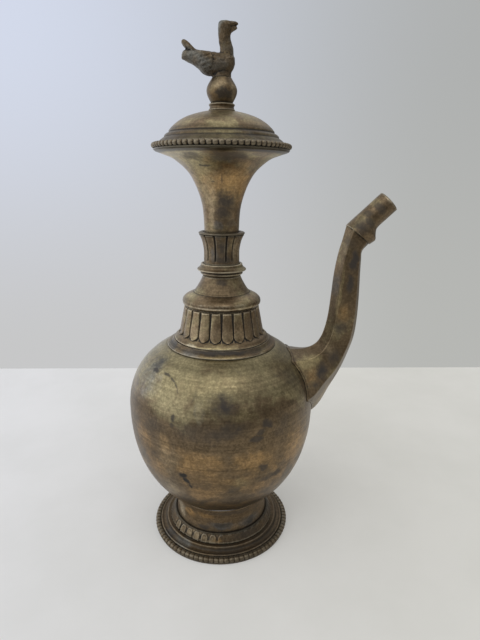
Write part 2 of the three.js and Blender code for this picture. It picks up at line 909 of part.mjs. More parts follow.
const rootRow = spoutRowShares[1];
const endRow = spoutRowShares.at(-1);

// A row's upper and lower corner, and the directions from one to the other and on along the spout
function spoutFrame([upperShare, lowerShare]) {
  const cornerAt = ([out, up]) => new THREE.Vector3(
    bowlRadius + out * spoutStandoff,
    0,
    seamLevel + up * spoutRise,
  );
  const [upper, lower] = [cornerAt(upperShare), cornerAt(lowerShare)];
  const across = lower.clone().sub(upper).normalize();
  return { upper, lower, across, forward: new THREE.Vector3(-across.z, 0, across.x) };
}

// The six corners of a row, moved inwards by an inset and on along the spout by an advance
function spoutRing(row, inset, advance) {
  const [, , upperDepth, lowerDepth, upperPlace, lowerPlace] = row;
  const { upper, lower, across, forward } = spoutFrame(row);
  upper.addScaledVector(across, inset).addScaledVector(forward, advance);
  lower.addScaledVector(across, -inset).addScaledVector(forward, advance);
  const corner = (place, depth, side) => {
    const halfDepth = THREE.MathUtils.lerp(spoutDepth, spoutRootDepth, depth) / 2 - inset;
    return upper.clone().lerp(lower, place).setY(side * halfDepth);
  };
  return [
    upper,
    corner(upperPlace, upperDepth, -1),
    corner(lowerPlace, lowerDepth, -1),
    lower,
    corner(lowerPlace, lowerDepth, 1),
    corner(upperPlace, upperDepth, 1),
  ];
}

const spoutSkin = (inset) => solidOf(loft(spoutRowShares.map((row) => spoutRing(row, inset, 0))));

function spoutBore() {
  const [first, ...rest] = spoutRowShares;
  const throat = tenonInset + tenonWall;
  return solidOf(loft([
    spoutRing(first, spoutWall, -cutOverrun),
    spoutRing(first, spoutWall, 0),
    ...rest.slice(0, -1).map((row) => spoutRing(row, spoutWall, 0)),
    spoutRing(endRow, throat, 0),
    spoutRing(endRow, throat, tenonDepth + cutOverrun),
  ]));
}

// The spout's plain end continues as a thin tenon inside the nozzle's socket
const tenonOf = (inset, start, end) => solidOf(loft([
  spoutRing(endRow, inset, start),
  spoutRing(endRow, inset, end),
]));

function makeSpout() {
  const saddle = spoutSkin(-saddleWidth).intersect(bowlEnvelope(fitGap + saddleThickness));
  return geometryOf(spoutSkin(0)
    .add(saddle)
    .add(tenonOf(tenonInset, -tenonDepth, tenonDepth))
    .subtract(spoutBore())
    .subtract(bowlEnvelope(fitGap)));
}

// A cylinder whose axis passes through a point in a direction
function rod(radius, length, centre, direction) {
  const geometry = new THREE.CylinderGeometry(radius, radius, length, smallSides);
  const up = new THREE.Vector3(0, 1, 0);
  geometry.applyQuaternion(new THREE.Quaternion().setFromUnitVectors(up, direction));
  geometry.translate(centre.x, centre.y, centre.z);
  return solidOf(geometry);
}

// Hole in the bowl that lets the drink into the spout's root
function pourHole() {
  const { upper, lower, forward } = spoutFrame(rootRow);
  return rod(pourHoleRadius, pourHoleLength, upper.lerp(lower, 0.5), forward);
}

// Nozzle: round sections whose upper edge runs on in a straight line from the spout's corner.
// Each row is [share of the length, share of the way from the tube's to the socket's radius].
const nozzleRowShares = [
  [-0.3, 0.7],
  [0.13, 0.96],
  [0.236, 1],
  [0.345, 0.41],
  [0.46, 0],
  [1, 0],
];

function makeNozzle() {
  const { upper, forward } = spoutFrame(endRow);
  const angle = THREE.MathUtils.degToRad(nozzleAngle);
  const along = new THREE.Vector3(Math.cos(angle), 0, Math.sin(angle));
  const down = new THREE.Vector3(Math.sin(angle), 0, -Math.cos(angle));
  const rings = nozzleRowShares.map(([place, swell]) => {
    const radius = THREE.MathUtils.lerp(nozzleRadius, nozzleSocketRadius, swell);
    const centre = upper.clone()
      .addScaledVector(along, place * nozzleLength)
      .addScaledVector(down, radius);
    return Array.from({ length: smallSides }, (_, side) => {
      const around = turn(side / smallSides);
      return centre.clone()
        .addScaledVector(down, radius * Math.cos(around))
        .setY(radius * Math.sin(around));
    });
  });
  const boreCentre = upper.clone().addScaledVector(down, nozzleRadius);
  const boreLength = 2 * (nozzleLength + cutOverrun);
  const spoutEnd = upper.clone().addScaledVector(forward, fitGap - nozzleLength / 2);
  return geometryOf(solidOf(loft(rings))
    .subtract(rod(nozzleLength, nozzleLength, spoutEnd, forward))
    .subtract(tenonOf(tenonInset - fitGap, -cutOverrun, tenonDepth + fitGap))
    .subtract(rod(nozzleBore, boreLength, boreCentre, along)));
}

const pot = new THREE.Group();
const vessel = new THREE.Group();
const lid = new THREE.Group();
pot.add(vessel, lid);

function addPiece(group, name, geometry, finish, heightAboveTable) {
  const mesh = new THREE.Mesh(geometry, new THREE.MeshStandardMaterial(finishes[finish]));
  mesh.name = name;
  mesh.position.z = heightAboveTable;
  group.add(mesh);
}

const footBeads = makeBeadRing(footRadius + footBeadProud, footBeadSize, footBeadCount);
const lidBeads = makeBeadRing(lidRadius + lidBeadProud, lidBeadSize, lidBeadCount);
const upperBowl = geometryOf(solidOf(makeUpperBowl()).subtract(pourHole()));

addPiece(vessel, 'foot', makeFoot(), 'foot', 0);
addPiece(vessel, 'foot_bead_ring', footBeads, 'foot', footBeadLedge);
addPiece(vessel, 'foot_petal_band', makeFootPetalBand(), 'ornament', footBandLevel);
addPiece(vessel, 'lower_bowl', makeLowerBowl(), 'bowl', 0);
addPiece(vessel, 'upper_bowl', upperBowl, 'bowl', 0);
addPiece(vessel, 'shoulder_ring', makeShoulderRing(), 'neck', shoulderLevel);
addPiece(vessel, 'petal_collar', makePetalCollar(), 'ornament', collarLevel);
addPiece(vessel, 'neck_cone', makeNeckCone(), 'neck', coneLevel);
addPiece(vessel, 'knop_ring', makeKnopRing(), 'neck', knopLevel);
addPiece(vessel, 'fluted_sleeve', makeFlutedSleeve(), 'ornament', sleeveLevel);
addPiece(vessel, 'funnel', makeFunnel(), 'funnel', funnelLevel);
addPiece(vessel, 'spout', makeSpout(), 'spout', 0);
addPiece(vessel, 'nozzle', makeNozzle(), 'spout', 0);
addPiece(lid, 'lid_cap', makeLidCap(), 'lid', lidLevel);
addPiece(lid, 'lid_bead_ring', lidBeads, 'lid', lidLevel + lidLedge);
addPiece(lid, 'lid_bezel', makeLidBezel(), 'hidden', lidLevel - bezelDepth);
addPiece(lid, 'finial_collar', makeFinialCollar(), 'finial', finialLevel);
addPiece(lid, 'finial_ball', makeFinialBall(), 'finial', ballLevel);
addPiece(lid, 'bird', makeBird(), 'finial', birdLevel);
addPiece(lid, 'finial_tang', makeFinialTang(), 'hidden', washerLevel);
addPiece(lid, 'tang_washer', makeTangWasher(), 'hidden', washerLevel);

// The origin lies on the table, under the middle of the whole pot with its spout
const reach = new THREE.Box3().setFromObject(pot);
pot.position.x = -(reach.min.x + reach.max.x) / 2;
pot.updateMatrixWorld(true);

export default pot;
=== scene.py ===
import math
import bmesh
import bpy
import numpy as np
from mathutils import Matrix, Vector, noise


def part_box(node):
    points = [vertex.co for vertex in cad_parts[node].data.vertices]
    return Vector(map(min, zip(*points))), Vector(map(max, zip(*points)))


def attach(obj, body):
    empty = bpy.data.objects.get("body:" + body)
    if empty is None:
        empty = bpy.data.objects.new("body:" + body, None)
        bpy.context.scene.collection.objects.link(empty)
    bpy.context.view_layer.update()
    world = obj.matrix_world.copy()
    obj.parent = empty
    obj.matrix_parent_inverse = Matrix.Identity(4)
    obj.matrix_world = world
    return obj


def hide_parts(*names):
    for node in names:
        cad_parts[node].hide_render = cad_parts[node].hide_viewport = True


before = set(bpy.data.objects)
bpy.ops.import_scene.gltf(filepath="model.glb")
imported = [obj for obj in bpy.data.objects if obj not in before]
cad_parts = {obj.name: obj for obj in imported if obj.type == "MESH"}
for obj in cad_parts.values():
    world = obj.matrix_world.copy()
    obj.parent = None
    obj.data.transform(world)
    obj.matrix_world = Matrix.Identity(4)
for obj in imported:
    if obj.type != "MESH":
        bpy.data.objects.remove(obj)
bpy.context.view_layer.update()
scene = bpy.context.scene
mm = 0.001
fullTurn = 2 * math.pi
tiny = 1e-9
weldDistance = 1e-6
mergeDistance = 1e-7
print("frame loaded:", len(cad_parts), "CAD nodes")

# the vessel's axis, where every turned piece is centred
footLow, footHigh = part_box("foot")
axisX = (footLow.x + footHigh.x) / 2


# heights and radii of a CAD node, in millimetres
def bottomOf(node):
    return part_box(node)[0].z / mm


def topOf(node):
    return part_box(node)[1].z / mm


def radiusOf(node):
    low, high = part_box(node)
    return (high.y - low.y) / 2 / mm


def smoothPath(points, steps):
    # a smooth curve through rows of numbers of any length
    rows = np.array(points, float)
    padded = np.vstack([2 * rows[0] - rows[1], rows, 2 * rows[-1] - rows[-2]])
    made = []
    for i in range(len(rows) - 1):
        a, b, c, d = padded[i:i + 4]
        for step in range(steps):
            t = step / steps
            made.append(0.5 * (2 * b + (c - a) * t + (2 * a - 5 * b + 4 * c - d) * t ** 2
                               + (3 * b - a - 3 * c + d) * t ** 3))
    made.append(rows[-1])
    return [tuple(row) for row in made]


def rounded(corners, closed=True, arcSteps=5, edgeShare=0.45):
    # corners are (radius, height) or (radius, height, size of the rounding), in millimetres,
    # and a rounding takes no more than a share of either edge
    made = []
    for i, corner in enumerate(corners):
        here = Vector(corner[:2])
        size = corner[2] if len(corner) > 2 else 0
        atEnd = not closed and i in (0, len(corners) - 1)
        if not size or atEnd:
            made.append(tuple(here))
            continue
        before = Vector(corners[i - 1][:2]) - here
        after = Vector(corners[(i + 1) % len(corners)][:2]) - here
        start = here + before.normalized() * min(size, before.length * edgeShare)
        end = here + after.normalized() * min(size, after.length * edgeShare)
        for step in range(arcSteps + 1):
            t = step / arcSteps
            made.append(tuple((1 - t) ** 2 * start + 2 * t * (1 - t) * here + t ** 2 * end))
    return made


def evenly(points, grain, closed=True):
    # the same outline with points about one grain apart
    rows = [Vector(p) for p in points]
    if closed:
        rows.append(rows[0])
    lengths = [(b - a).length for a, b in zip(rows, rows[1:])]
    total = sum(lengths)
    count = max(int(total / grain), 4)
    made, along, index = [], 0.0, 0
    for step in range(count if closed else count + 1):
        target = total * step / count
        while index < len(lengths) - 1 and along + lengths[index] < target:
            along += lengths[index]
            index += 1
        share = min((target - along) / max(lengths[index], tiny), 1)
        made.append(tuple(rows[index].lerp(rows[index + 1], share)))
    return made


def meshFrom(name, points, faces):
    mesh = bpy.data.meshes.new(name)
    mesh.from_pydata([tuple(p) for p in points], [], faces)
    mesh.update()
    piece = bpy.data.objects.new(name, mesh)
    scene.collection.objects.link(piece)
    return piece


def turned(name, outline, sides, base=0, closed=True):
    # a [radius, height] outline turned round the vessel's axis; an open one starts and ends on it
    points, faces = [], []

    def ring(row):
        return [row * sides + i for i in range(sides)]

    inner = outline if closed else outline[1:-1]
    for radius, height in inner:
        for i in range(sides):
            angle = fullTurn * i / sides
            points.append((axisX + radius * mm * math.cos(angle),
                           radius * mm * math.sin(angle), (base + height) * mm))
    rows = len(inner)
    for row in range(rows if closed else rows - 1):
        here, there = ring(row), ring((row + 1) % rows)
        for i in range(sides):
            j = (i + 1) % sides
            faces.append((here[i], here[j], there[j], there[i]))
    if not closed:
        for row, (_, height) in ((0, outline[0]), (rows - 1, outline[-1])):
            pole = len(points)
            points.append((axisX, 0, (base + height) * mm))
            for i in range(sides):
                faces.append((ring(row)[i], ring(row)[(i + 1) % sides], pole))
    return meshFrom(name, points, faces)


def loft(name, rings):
    # a skin over rings of equally many points, closed by a fan at each end
    count = len(rings[0])
    points = [p for ring in rings for p in ring]
    faces = []
    for row in range(len(rings) - 1):
        for i in range(count):
            j = (i + 1) % count
            faces.append((row * count + i, row * count + j,
                          (row + 1) * count + j, (row + 1) * count + i))
    for row in (0, len(rings) - 1):
        middle = sum((Vector(p) for p in rings[row]), Vector()) / count
        hub = len(points)
        points.append(tuple(middle))
        for i in range(count):
            faces.append((row * count + i, row * count + (i + 1) % count, hub))
    return meshFrom(name, points, faces)


def pointOutwards(piece):
    work = bmesh.new()
    work.from_mesh(piece.data)
    bmesh.ops.remove_doubles(work, verts=work.verts, dist=mergeDistance)
    bmesh.ops.recalc_face_normals(work, faces=work.faces)
    if work.calc_volume(signed=True) < 0:
        bmesh.ops.reverse_faces(work, faces=work.faces)
    work.to_mesh(piece.data)
    work.free()


def plainMesh(piece):
    # the evaluated piece as a plain mesh, with its modifiers gone
    piece.data.update()
    bpy.context.view_layer.update()
    shown = piece.evaluated_get(bpy.context.evaluated_depsgraph_get())
    made = bpy.data.meshes.new_from_object(shown)
    piece.modifiers.clear()
    old, piece.data = piece.data, made
    bpy.data.meshes.remove(old)
    made.name = piece.name


def basicForm(name, build, place, towards=None, **sizes):
    # one of Blender's own forms, turned from +Z towards a direction and moved to its place
    work = bmesh.new()
    build(work, **sizes)
    if towards is not None:
        turn = Vector((0, 0, 1)).rotation_difference(towards).to_matrix()
        bmesh.ops.rotate(work, verts=work.verts, matrix=turn)
    bmesh.ops.translate(work, verts=work.verts, vec=place)
    mesh = bpy.data.meshes.new(name)
    work.to_mesh(mesh)
    work.free()
    piece = bpy.data.objects.new(name, mesh)
    scene.collection.objects.link(piece)
    return piece


def cut(piece, tool, operation="DIFFERENCE"):
    pointOutwards(piece)
    pointOutwards(tool)
    step = piece.modifiers.new("cut", "BOOLEAN")
    step.operation = operation
    step.solver = "EXACT"
    step.object = tool
    plainMesh(piece)
    bpy.data.objects.remove(tool)


def moveEach(piece, shift):
    # shift(point, normal) gives the way each point moves
    moved = [(v.co + shift(v.co, v.normal)) for v in piece.data.vertices]
    piece.data.vertices.foreach_set("co", np.array(moved, np.float32).ravel())
    piece.data.update()


# how the relief is found: rounds of smoothing, what a point keeps in each, and the lift that
# counts as fully proud, as a share of the reach
reliefRule = dict(fewest=2, most=60, keep=0.4, proud=0.22)


def markRelief(piece, reach):
    # stores how far each point stands proud of (or lies below) the surface smoothed over a reach
    mesh = piece.data
    count = len(mesh.vertices)
    points = np.empty(count * 3)
    normals = np.empty(count * 3)
    ends = np.empty(len(mesh.edges) * 2, np.int64)
    mesh.vertices.foreach_get("co", points)
    mesh.vertex_normals.foreach_get("vector", normals)
    mesh.edges.foreach_get("vertices", ends)
    points, normals = points.reshape(-1, 3), normals.reshape(-1, 3)
    a, b = ends.reshape(-1, 2).T
    degree = np.bincount(a, minlength=count) + np.bincount(b, minlength=count)
    degree = np.maximum(degree, 1)[:, None]
    spacing = np.median(np.linalg.norm(points[a] - points[b], axis=1)) / mm
    soft = points.copy()
    keep = reliefRule["keep"]
    rounds = min(max((reach / spacing) ** 2, reliefRule["fewest"]), reliefRule["most"])
    for _ in range(int(rounds)):
        total = np.stack([np.bincount(a, soft[b, k], count) + np.bincount(b, soft[a, k], count)
                          for k in range(3)], axis=1)
        soft = keep * soft + (1 - keep) * total / degree
    lift = ((points - soft) * normals).sum(1) / mm / (reliefRule["proud"] * reach)
    relief = mesh.attributes.new("relief", "FLOAT", "POINT")
    relief.data.foreach_set("value", np.clip(lift, -1, 1).astype(np.float32))


def finishPiece(piece, finish, body, nodes, reach=1.2, sharpAngle=50):
    # a reach of zero leaves the piece without worn edges, and keeps its corners sharp
    pointOutwards(piece)
    piece.data.polygons.foreach_set("use_smooth", [True] * len(piece.data.polygons))
    piece.data.update()
    if reach:
        markRelief(piece, reach)
    else:
        piece.data.set_sharp_from_angle(angle=math.radians(sharpAngle))
    piece.data.materials.clear()
    piece.data.materials.append(finish)
    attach(piece, body)
    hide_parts(*nodes)
    print("made", piece.name, len(piece.data.polygons), "faces")


# a unit shape repeated round the vessel's axis
def makeRepeatTree():
    tree = bpy.data.node_groups.new("repeatRoundAxis", "GeometryNodeTree")
    tree.interface.new_socket("Unit", in_out="INPUT", socket_type="NodeSocketGeometry")
    tree.interface.new_socket("Count", in_out="INPUT", socket_type="NodeSocketInt")
    tree.interface.new_socket("Axis Foot", in_out="INPUT", socket_type="NodeSocketVector")
    tree.interface.new_socket("First Turn", in_out="INPUT", socket_type="NodeSocketFloat")
    tree.interface.new_socket("Weld Distance", in_out="INPUT", socket_type="NodeSocketFloat")
    tree.interface.new_socket("Finish", in_out="INPUT", socket_type="NodeSocketMaterial")
    tree.interface.new_socket("Ring", in_out="OUTPUT", socket_type="NodeSocketGeometry")
    add, link = tree.nodes.new, tree.links.new
    given = add("NodeGroupInput")
    line = add("GeometryNodeMeshLine")
    line.inputs["Offset"].default_value = (0, 0, 0)
    link(given.outputs["Count"], line.inputs["Count"])
    link(given.outputs["Axis Foot"], line.inputs["Start Location"])
    index = add("GeometryNodeInputIndex")
    share = add("ShaderNodeMath")
    share.operation = "DIVIDE"
    link(index.outputs[0], share.inputs[0])
    link(given.outputs["Count"], share.inputs[1])
    angle = add("ShaderNodeMath")
    angle.operation = "MULTIPLY_ADD"
    angle.inputs[1].default_value = fullTurn
    link(share.outputs[0], angle.inputs[0])
    link(given.outputs["First Turn"], angle.inputs[2])
    turn = add("ShaderNodeCombineXYZ")
    link(angle.outputs[0], turn.inputs["Z"])
    copies = add("GeometryNodeInstanceOnPoints")
    link(line.outputs["Mesh"], copies.inputs["Points"])
    link(given.outputs["Unit"], copies.inputs["Instance"])
    link(turn.outputs[0], copies.inputs["Rotation"])
    real = add("GeometryNodeRealizeInstances")
    link(copies.outputs[0], real.inputs[0])
    weld = add("GeometryNodeMergeByDistance")
    link(real.outputs[0], weld.inputs["Geometry"])
    link(given.outputs["Weld Distance"], weld.inputs["Distance"])
    coat = add("GeometryNodeSetMaterial")
    link(weld.outputs[0], coat.inputs["Geometry"])
    link(given.outputs["Finish"], coat.inputs["Material"])
    out = add("NodeGroupOutput")
    link(coat.outputs[0], out.inputs[0])
    return tree


repeatTree = makeRepeatTree()


def repeatRound(name, unit, count, finish, firstTurn=0):
    unit.name = name
    step = unit.modifiers.new("repeat", "NODES")
    step.node_group = repeatTree
    sockets = {item.name: item.identifier for item in repeatTree.interface.items_tree}
    step[sockets["Count"]] = count
    step[sockets["Axis Foot"]] = (axisX, 0.0, 0.0)
    step[sockets["First Turn"]] = firstTurn
    step[sockets["Weld Distance"]] = weldDistance
    step[sockets["Finish"]] = finish
    plainMesh(unit)
    return unit


def sector(name, sectionAt, count, steps, base):
    # one of many alike sectors of a ring: sectionAt(phase) gives its closed [radius, height] outline
    points, faces = [], []
    corners = len(sectionAt(0))
    for step in range(steps + 1):
        phase = step / steps
        angle = fullTurn * (phase - 0.5) / count
        for radius, height in sectionAt(phase):
            points.append((radius * mm * math.cos(angle), radius * mm * math.sin(angle),
                           (base + height) * mm))
    for step in range(steps):
        for i in range(corners):
            j = (i + 1) % corners
            faces.append((step * corners + i, step * corners + j,
                          (step + 1) * corners + j, (step + 1) * corners + i))
    return meshFrom(name, points, faces)


def smoothStep(low, high, value):
    t = min(max((value - low) / (high - low), 0), 1)
    return t * t * (3 - 2 * t)


# nodes of a material
def addNode(tree, kind, given=None, **settings):
    made = tree.nodes.new(kind)
    for key, value in settings.items():
        setattr(made, key, value)
    for key, value in (given or {}).items():
        if isinstance(value, bpy.types.NodeSocket):
            tree.links.new(value, made.inputs[key])
        else:
            made.inputs[key].default_value = value
    return made


def calc(tree, operation, a, b=0.0, c=0.0, clamp=False):
    return addNode(tree, "ShaderNodeMath", {0: a, 1: b, 2: c},
                   operation=operation, use_clamp=clamp).outputs[0]


def ramp(tree, value, low, high, start=0.0, end=1.0):
    given = {"Value": value, "From Min": low, "From Max": high, "To Min": start, "To Max": end}
    return addNode(tree, "ShaderNodeMapRange", given, interpolation_type="SMOOTHSTEP").outputs[0]


def cloud(tree, place, scale, detail=4.0, rough=0.55, distort=0.0):
    given = {"Vector": place, "Scale": scale, "Detail": detail, "Roughness": rough,
             "Distortion": distort}
    return addNode(tree, "ShaderNodeTexNoise", given).outputs["Fac"]


def blend(tree, share, first, second):
    made = addNode(tree, "ShaderNodeMix", {0: share}, data_type="RGBA")
    for socket, value in ((made.inputs[6], first), (made.inputs[7], second)):
        if isinstance(value, bpy.types.NodeSocket):
            tree.links.new(value, socket)
        else:
            socket.default_value = (*value, 1.0)
    return made.outputs[2]


# clouds of the old brass: scale, detail, roughness and distortion
brassClouds = dict(
    fine=(900.0, 5.0, 0.65), medium=(160.0, 6.0, 0.6, 0.6), broad=(42.0, 5.0, 0.6, 0.5),
    veil=(60.0, 5.0, 0.6, 0.8), gold=(60.0, 7.0, 0.66, 1.1), fleck=(330.0, 5.0, 0.7, 0.3),
    streak=(1.0, 5.0, 0.65), stain=(90.0, 7.0, 0.66, 0.9), spot=(380.0, 4.0, 0.55, 0.2),
    patch=(240.0, 5.0, 0.65, 0.4), swell=(130.0, 3.0, 0.5), casting=(480.0, 4.0, 0.6),
)
# where a cloud starts and ends to show, and how far an amount of one brings that forward
brassSpreads = dict(olive=(0.96, 1.24, 0.45), veil=(0.72, 0.95, 0.35), gold=(0.60, 0.86, 0.3),
                    stain=(0.74, 0.92, 0.22))
# the same for what has no amount, some with how bright it is at its start and at its end
brassRamps = dict(fine=(0.35, 0.72, 0.74, 1.2), speckle=(0.35, 0.65, 0.84, 1.14), spot=(0.70, 0.78),
                  patch=(0.36, 0.62, 0.6, 1.0), hollow=(0.16, 0.62), crevice=(0.2, 0.7),
                  worn=(0.35, 1.0), pock=(0.0, 0.45))
# roughness and metalness, and what unevenness, soil with painted shade, and rubbing add to them
brassShine = dict(uneven=0.22, soiledAndShaded=0.22, worn=-0.08, metal=0.92, soiledMetal=-0.5)
# heights of the surface's own relief, in millimetres
brassHeights = dict(dent=0.10, grain=0.035, line=0.05, pit=0.12, lump=0.3)
# clouds of one scale are moved apart, and turning lines are clouds drawn out round the axis
cloudMoves = dict(veil=(0.31, 0.12, 0.2), gold=(0.1, 0.4, 0.15), stain=(-0.2, 0.05, 0.33))
turningScale = (14.0, 14.0, 900.0)
waverScale = 190.0
pockScale = 950.0
dirtReach = 2.4 * mm

# colours of the old brass: rubbed metal, patina and dirt, which the marks also use for painted highlights
# and painted shade
brassColours = dict(
    bright=(0.56, 0.49, 0.36),
    golden=(0.37, 0.235, 0.105),
    yellow=(0.40, 0.325, 0.17),
    tan=(0.40, 0.31, 0.19),
    olive=(0.30, 0.25, 0.138),
    brown=(0.165, 0.118, 0.069),
    dark=(0.045, 0.037, 0.03),
    grime=(0.022, 0.018, 0.013),
    grey=(0.235, 0.225, 0.195),
    slate=(0.10, 0.101, 0.099),
)


def spread(tree, value, kind, amount):
    # a cloud's share of the surface, which grows with its amount
    low, high, reach = brassSpreads[kind]
    return ramp(tree, value, low - reach * amount, high - reach * amount)


def shifted(tree, place, *way):
    return addNode(tree, "ShaderNodeMapping", {"Vector": place, "Location": way}).outputs[0]


# edges of marks: from a size in mm they fade out, smaller ones end sharply, and all are ragged
markEdge = dict(largeFrom=3.5, large=(0.1, 1.15), small=(0.4, 1.0), ragged=2.2, raggedMost=16)


def markShare(tree, here, waver, mark):
    # 1 inside a ragged egg at a place, with its reach across and up and its lean in degrees
    x, y, z, wide, tall, lean = mark
    inner, outer = markEdge["large" if min(wide, tall) > markEdge["largeFrom"] else "small"]
    ragged = min(markEdge["ragged"] * min(wide, tall), markEdge["raggedMost"]) * mm
    place = addNode(tree, "ShaderNodeVectorMath", {0: waver, 1: (ragged,) * 3, 2: here},
                    operation="MULTIPLY_ADD").outputs[0]
    egg = addNode(tree, "ShaderNodeMapping", {
        "Vector": place, "Location": (axisX + x * mm, y * mm, z * mm),
        "Rotation": (0, math.radians(lean), 0),
        "Scale": (wide * mm, max(wide, tall) * mm, tall * mm)}, vector_type="TEXTURE").outputs[0]
    away = addNode(tree, "ShaderNodeVectorMath", {0: egg}, operation="LENGTH").outputs["Value"]
    return ramp(tree, away, inner, outer, 1.0, 0.0)


def agedBrass(name, olive=0.5, oliveBand=None, golden=0.0, goldenBand=None, stains=0.5, wear=0.4,
              grime=1.0, roughness=0.42, turning=0.0, pits=0.0, dents=0.3, shift=0.0, tone=1.0,
              grey=0.2, zones=(), marks=()):
    # amounts grow from 0, tone is how bright the colours are, shift moves every cloud (in metres),
    # and bands and zones go by the height above the table in millimetres
    # zones and some marks paint light and shade into the colour, as the finishes and the lists of marks
    # note
    material = bpy.data.materials.new(name)
    material.use_nodes = True
    tree = material.node_tree
    tree.nodes.clear()
    colours = {key: tuple(c * tone for c in value) for key, value in brassColours.items()}
    here = addNode(tree, "ShaderNodeTexCoord").outputs["Object"]
    place = shifted(tree, here, shift, shift * 0.7, -shift)
    level = addNode(tree, "ShaderNodeSeparateXYZ", {0: here}).outputs["Z"]
    relief = addNode(tree, "ShaderNodeAttribute", attribute_name="relief").outputs["Fac"]
    fine = cloud(tree, place, *brassClouds["fine"])
    medium = cloud(tree, place, *brassClouds["medium"])
    broad = cloud(tree, place, *brassClouds["broad"])

    # patina: olive and brown clouds, with greyer veils
    oliveCloud = calc(tree, "MULTIPLY_ADD", medium, 0.5, broad)
    if oliveBand:
        low, high = [value * mm for value in oliveBand]
        oliveCloud = calc(tree, "ADD", oliveCloud, ramp(tree, level, low, high, -0.3, 0.3))
    colour = blend(tree, spread(tree, oliveCloud, "olive", olive), colours["brown"],
                   colours["olive"])
    greyCloud = cloud(tree, shifted(tree, place, *cloudMoves["veil"]), *brassClouds["veil"])
    colour = blend(tree, spread(tree, greyCloud, "veil", grey), colour, colours["grey"])

    # golden rubbed patches, on one band of heights where the piece has such a band
    if golden:
        goldCloud = cloud(tree, shifted(tree, place, *cloudMoves["gold"]), *brassClouds["gold"])
        goldShare = spread(tree, goldCloud, "gold", golden)
        if goldenBand:
            low, full, high, gone = [value * mm for value in goldenBand]
            goldShare = calc(tree, "MULTIPLY", goldShare, ramp(tree, level, low, full))
            goldShare = calc(tree, "MULTIPLY", goldShare, ramp(tree, level, high, gone, 1.0, 0.0))
        colour = blend(tree, calc(tree, "MULTIPLY", goldShare, 0.7), colour, colours["golden"])

    # small flecks and turning lines, then stains and black spots
    drawnOut = addNode(tree, "ShaderNodeMapping", {"Vector": here, "Scale": turningScale}).outputs[0]
    streak = cloud(tree, drawnOut, *brassClouds["streak"])
    speckle = ramp(tree, cloud(tree, place, *brassClouds["fleck"]), *brassRamps["speckle"])
    lines = ramp(tree, streak, 0.3, 0.7, 1 - 0.2 * turning, 1 + 0.16 * turning)
    fleck = calc(tree, "MULTIPLY", ramp(tree, fine, *brassRamps["fine"]), speckle)
    fleck = calc(tree, "MULTIPLY", fleck, lines)
    stainPlace = shifted(tree, place, *cloudMoves["stain"])
    stain = spread(tree, cloud(tree, stainPlace, *brassClouds["stain"]), "stain", stains)
    spot = ramp(tree, cloud(tree, stainPlace, *brassClouds["spot"]), *brassRamps["spot"])
    stainsAndPaintedShade = calc(tree, "MAXIMUM", calc(tree, "MULTIPLY", stain, 0.75),
                calc(tree, "MULTIPLY", spot, 0.7))

    # stains, rubbed patches, painted highlights and painted shade that have a place of their own
    if marks:
        waver = addNode(tree, "ShaderNodeTexNoise", {
            "Vector": here, "Scale": waverScale, "Detail": 5.0, "Roughness": 0.65}).outputs["Color"]
        waver = addNode(tree, "ShaderNodeVectorMath", {0: waver, 1: (0.5, 0.5, 0.5)},
                        operation="SUBTRACT").outputs[0]
        patchy = ramp(tree, cloud(tree, place, *brassClouds["patch"]), *brassRamps["patch"])
    black = 0.0
    for kind, strength, *mark in marks:
        share = calc(tree, "MULTIPLY", markShare(tree, here, waver, mark), strength)
        # dark marks are stains, and some of them are painted shade, as their lists note
        if kind == "dark":
            stainsAndPaintedShade = calc(tree, "MAXIMUM", stainsAndPaintedShade, share)
        elif kind == "black":
            black = calc(tree, "MAXIMUM", black, share)
        else:
            colour = blend(tree, calc(tree, "MULTIPLY", share, patchy), colour, colours[kind])
    colour = addNode(tree, "ShaderNodeVectorMath", {0: colour, "Scale": fleck},
                     operation="SCALE").outputs[0]
    colour = blend(tree, stainsAndPaintedShade, colour, colours["dark"])
    colour = blend(tree, black, colour, colours["grime"])

    # dirt packed in hollows and against neighbouring pieces
    deep = calc(tree, "MULTIPLY_ADD", relief, -1.0, calc(tree, "MULTIPLY", medium, 0.25))
    hollow = ramp(tree, deep, *brassRamps["hollow"])
    near = addNode(tree, "ShaderNodeAmbientOcclusion", {"Distance": dirtReach}, samples=6)
    crevice = ramp(tree, calc(tree, "SUBTRACT", 1.0, near.outputs["AO"]), *brassRamps["crevice"])
    packed = calc(tree, "MULTIPLY", calc(tree, "MAXIMUM", hollow, crevice), 0.95 * grime, clamp=True)
    colour = blend(tree, packed, colour, colours["grime"])

    # paler metal where edges rub, broken up by what the rubbing missed
    edge = calc(tree, "ADD", relief, calc(tree, "MULTIPLY_ADD", medium, 1.1, -0.55))
    edge = calc(tree, "ADD", edge, calc(tree, "MULTIPLY_ADD", fine, 0.5, -0.25))
    worn = calc(tree, "MULTIPLY", ramp(tree, edge, *brassRamps["worn"]), wear, clamp=True)
    colour = blend(tree, worn, colour, colours["bright"])

    # some heights are darker or paler than the rest of their piece: on several pieces this is painted
    # shade and painted light, as their finishes note
    if zones:
        strength = zones[0][1]
        for (low, before), (high, after) in zip(zones, zones[1:]):
            strength = calc(tree, "MULTIPLY", strength,
                            ramp(tree, level, low * mm, high * mm, 1.0, after / before))
        colour = addNode(tree, "ShaderNodeVectorMath", {0: colour, "Scale": strength},
                         operation="SCALE").outputs[0]

    # dirt and the painted shade of dark marks are dull and hardly a metal, rubbed metal is smoother
    soiledAndShaded = calc(tree, "MAXIMUM", calc(tree, "MAXIMUM", packed, stainsAndPaintedShade), black)
    uneven = brassShine["uneven"]
    shine = calc(tree, "MULTIPLY_ADD", medium, uneven, roughness - uneven / 2)
    shine = calc(tree, "MULTIPLY_ADD", soiledAndShaded, brassShine["soiledAndShaded"], shine)
    shine = calc(tree, "MULTIPLY_ADD", worn, brassShine["worn"], shine, clamp=True)
    metal = calc(tree, "MULTIPLY_ADD", soiledAndShaded, brassShine["soiledMetal"], brassShine["metal"])

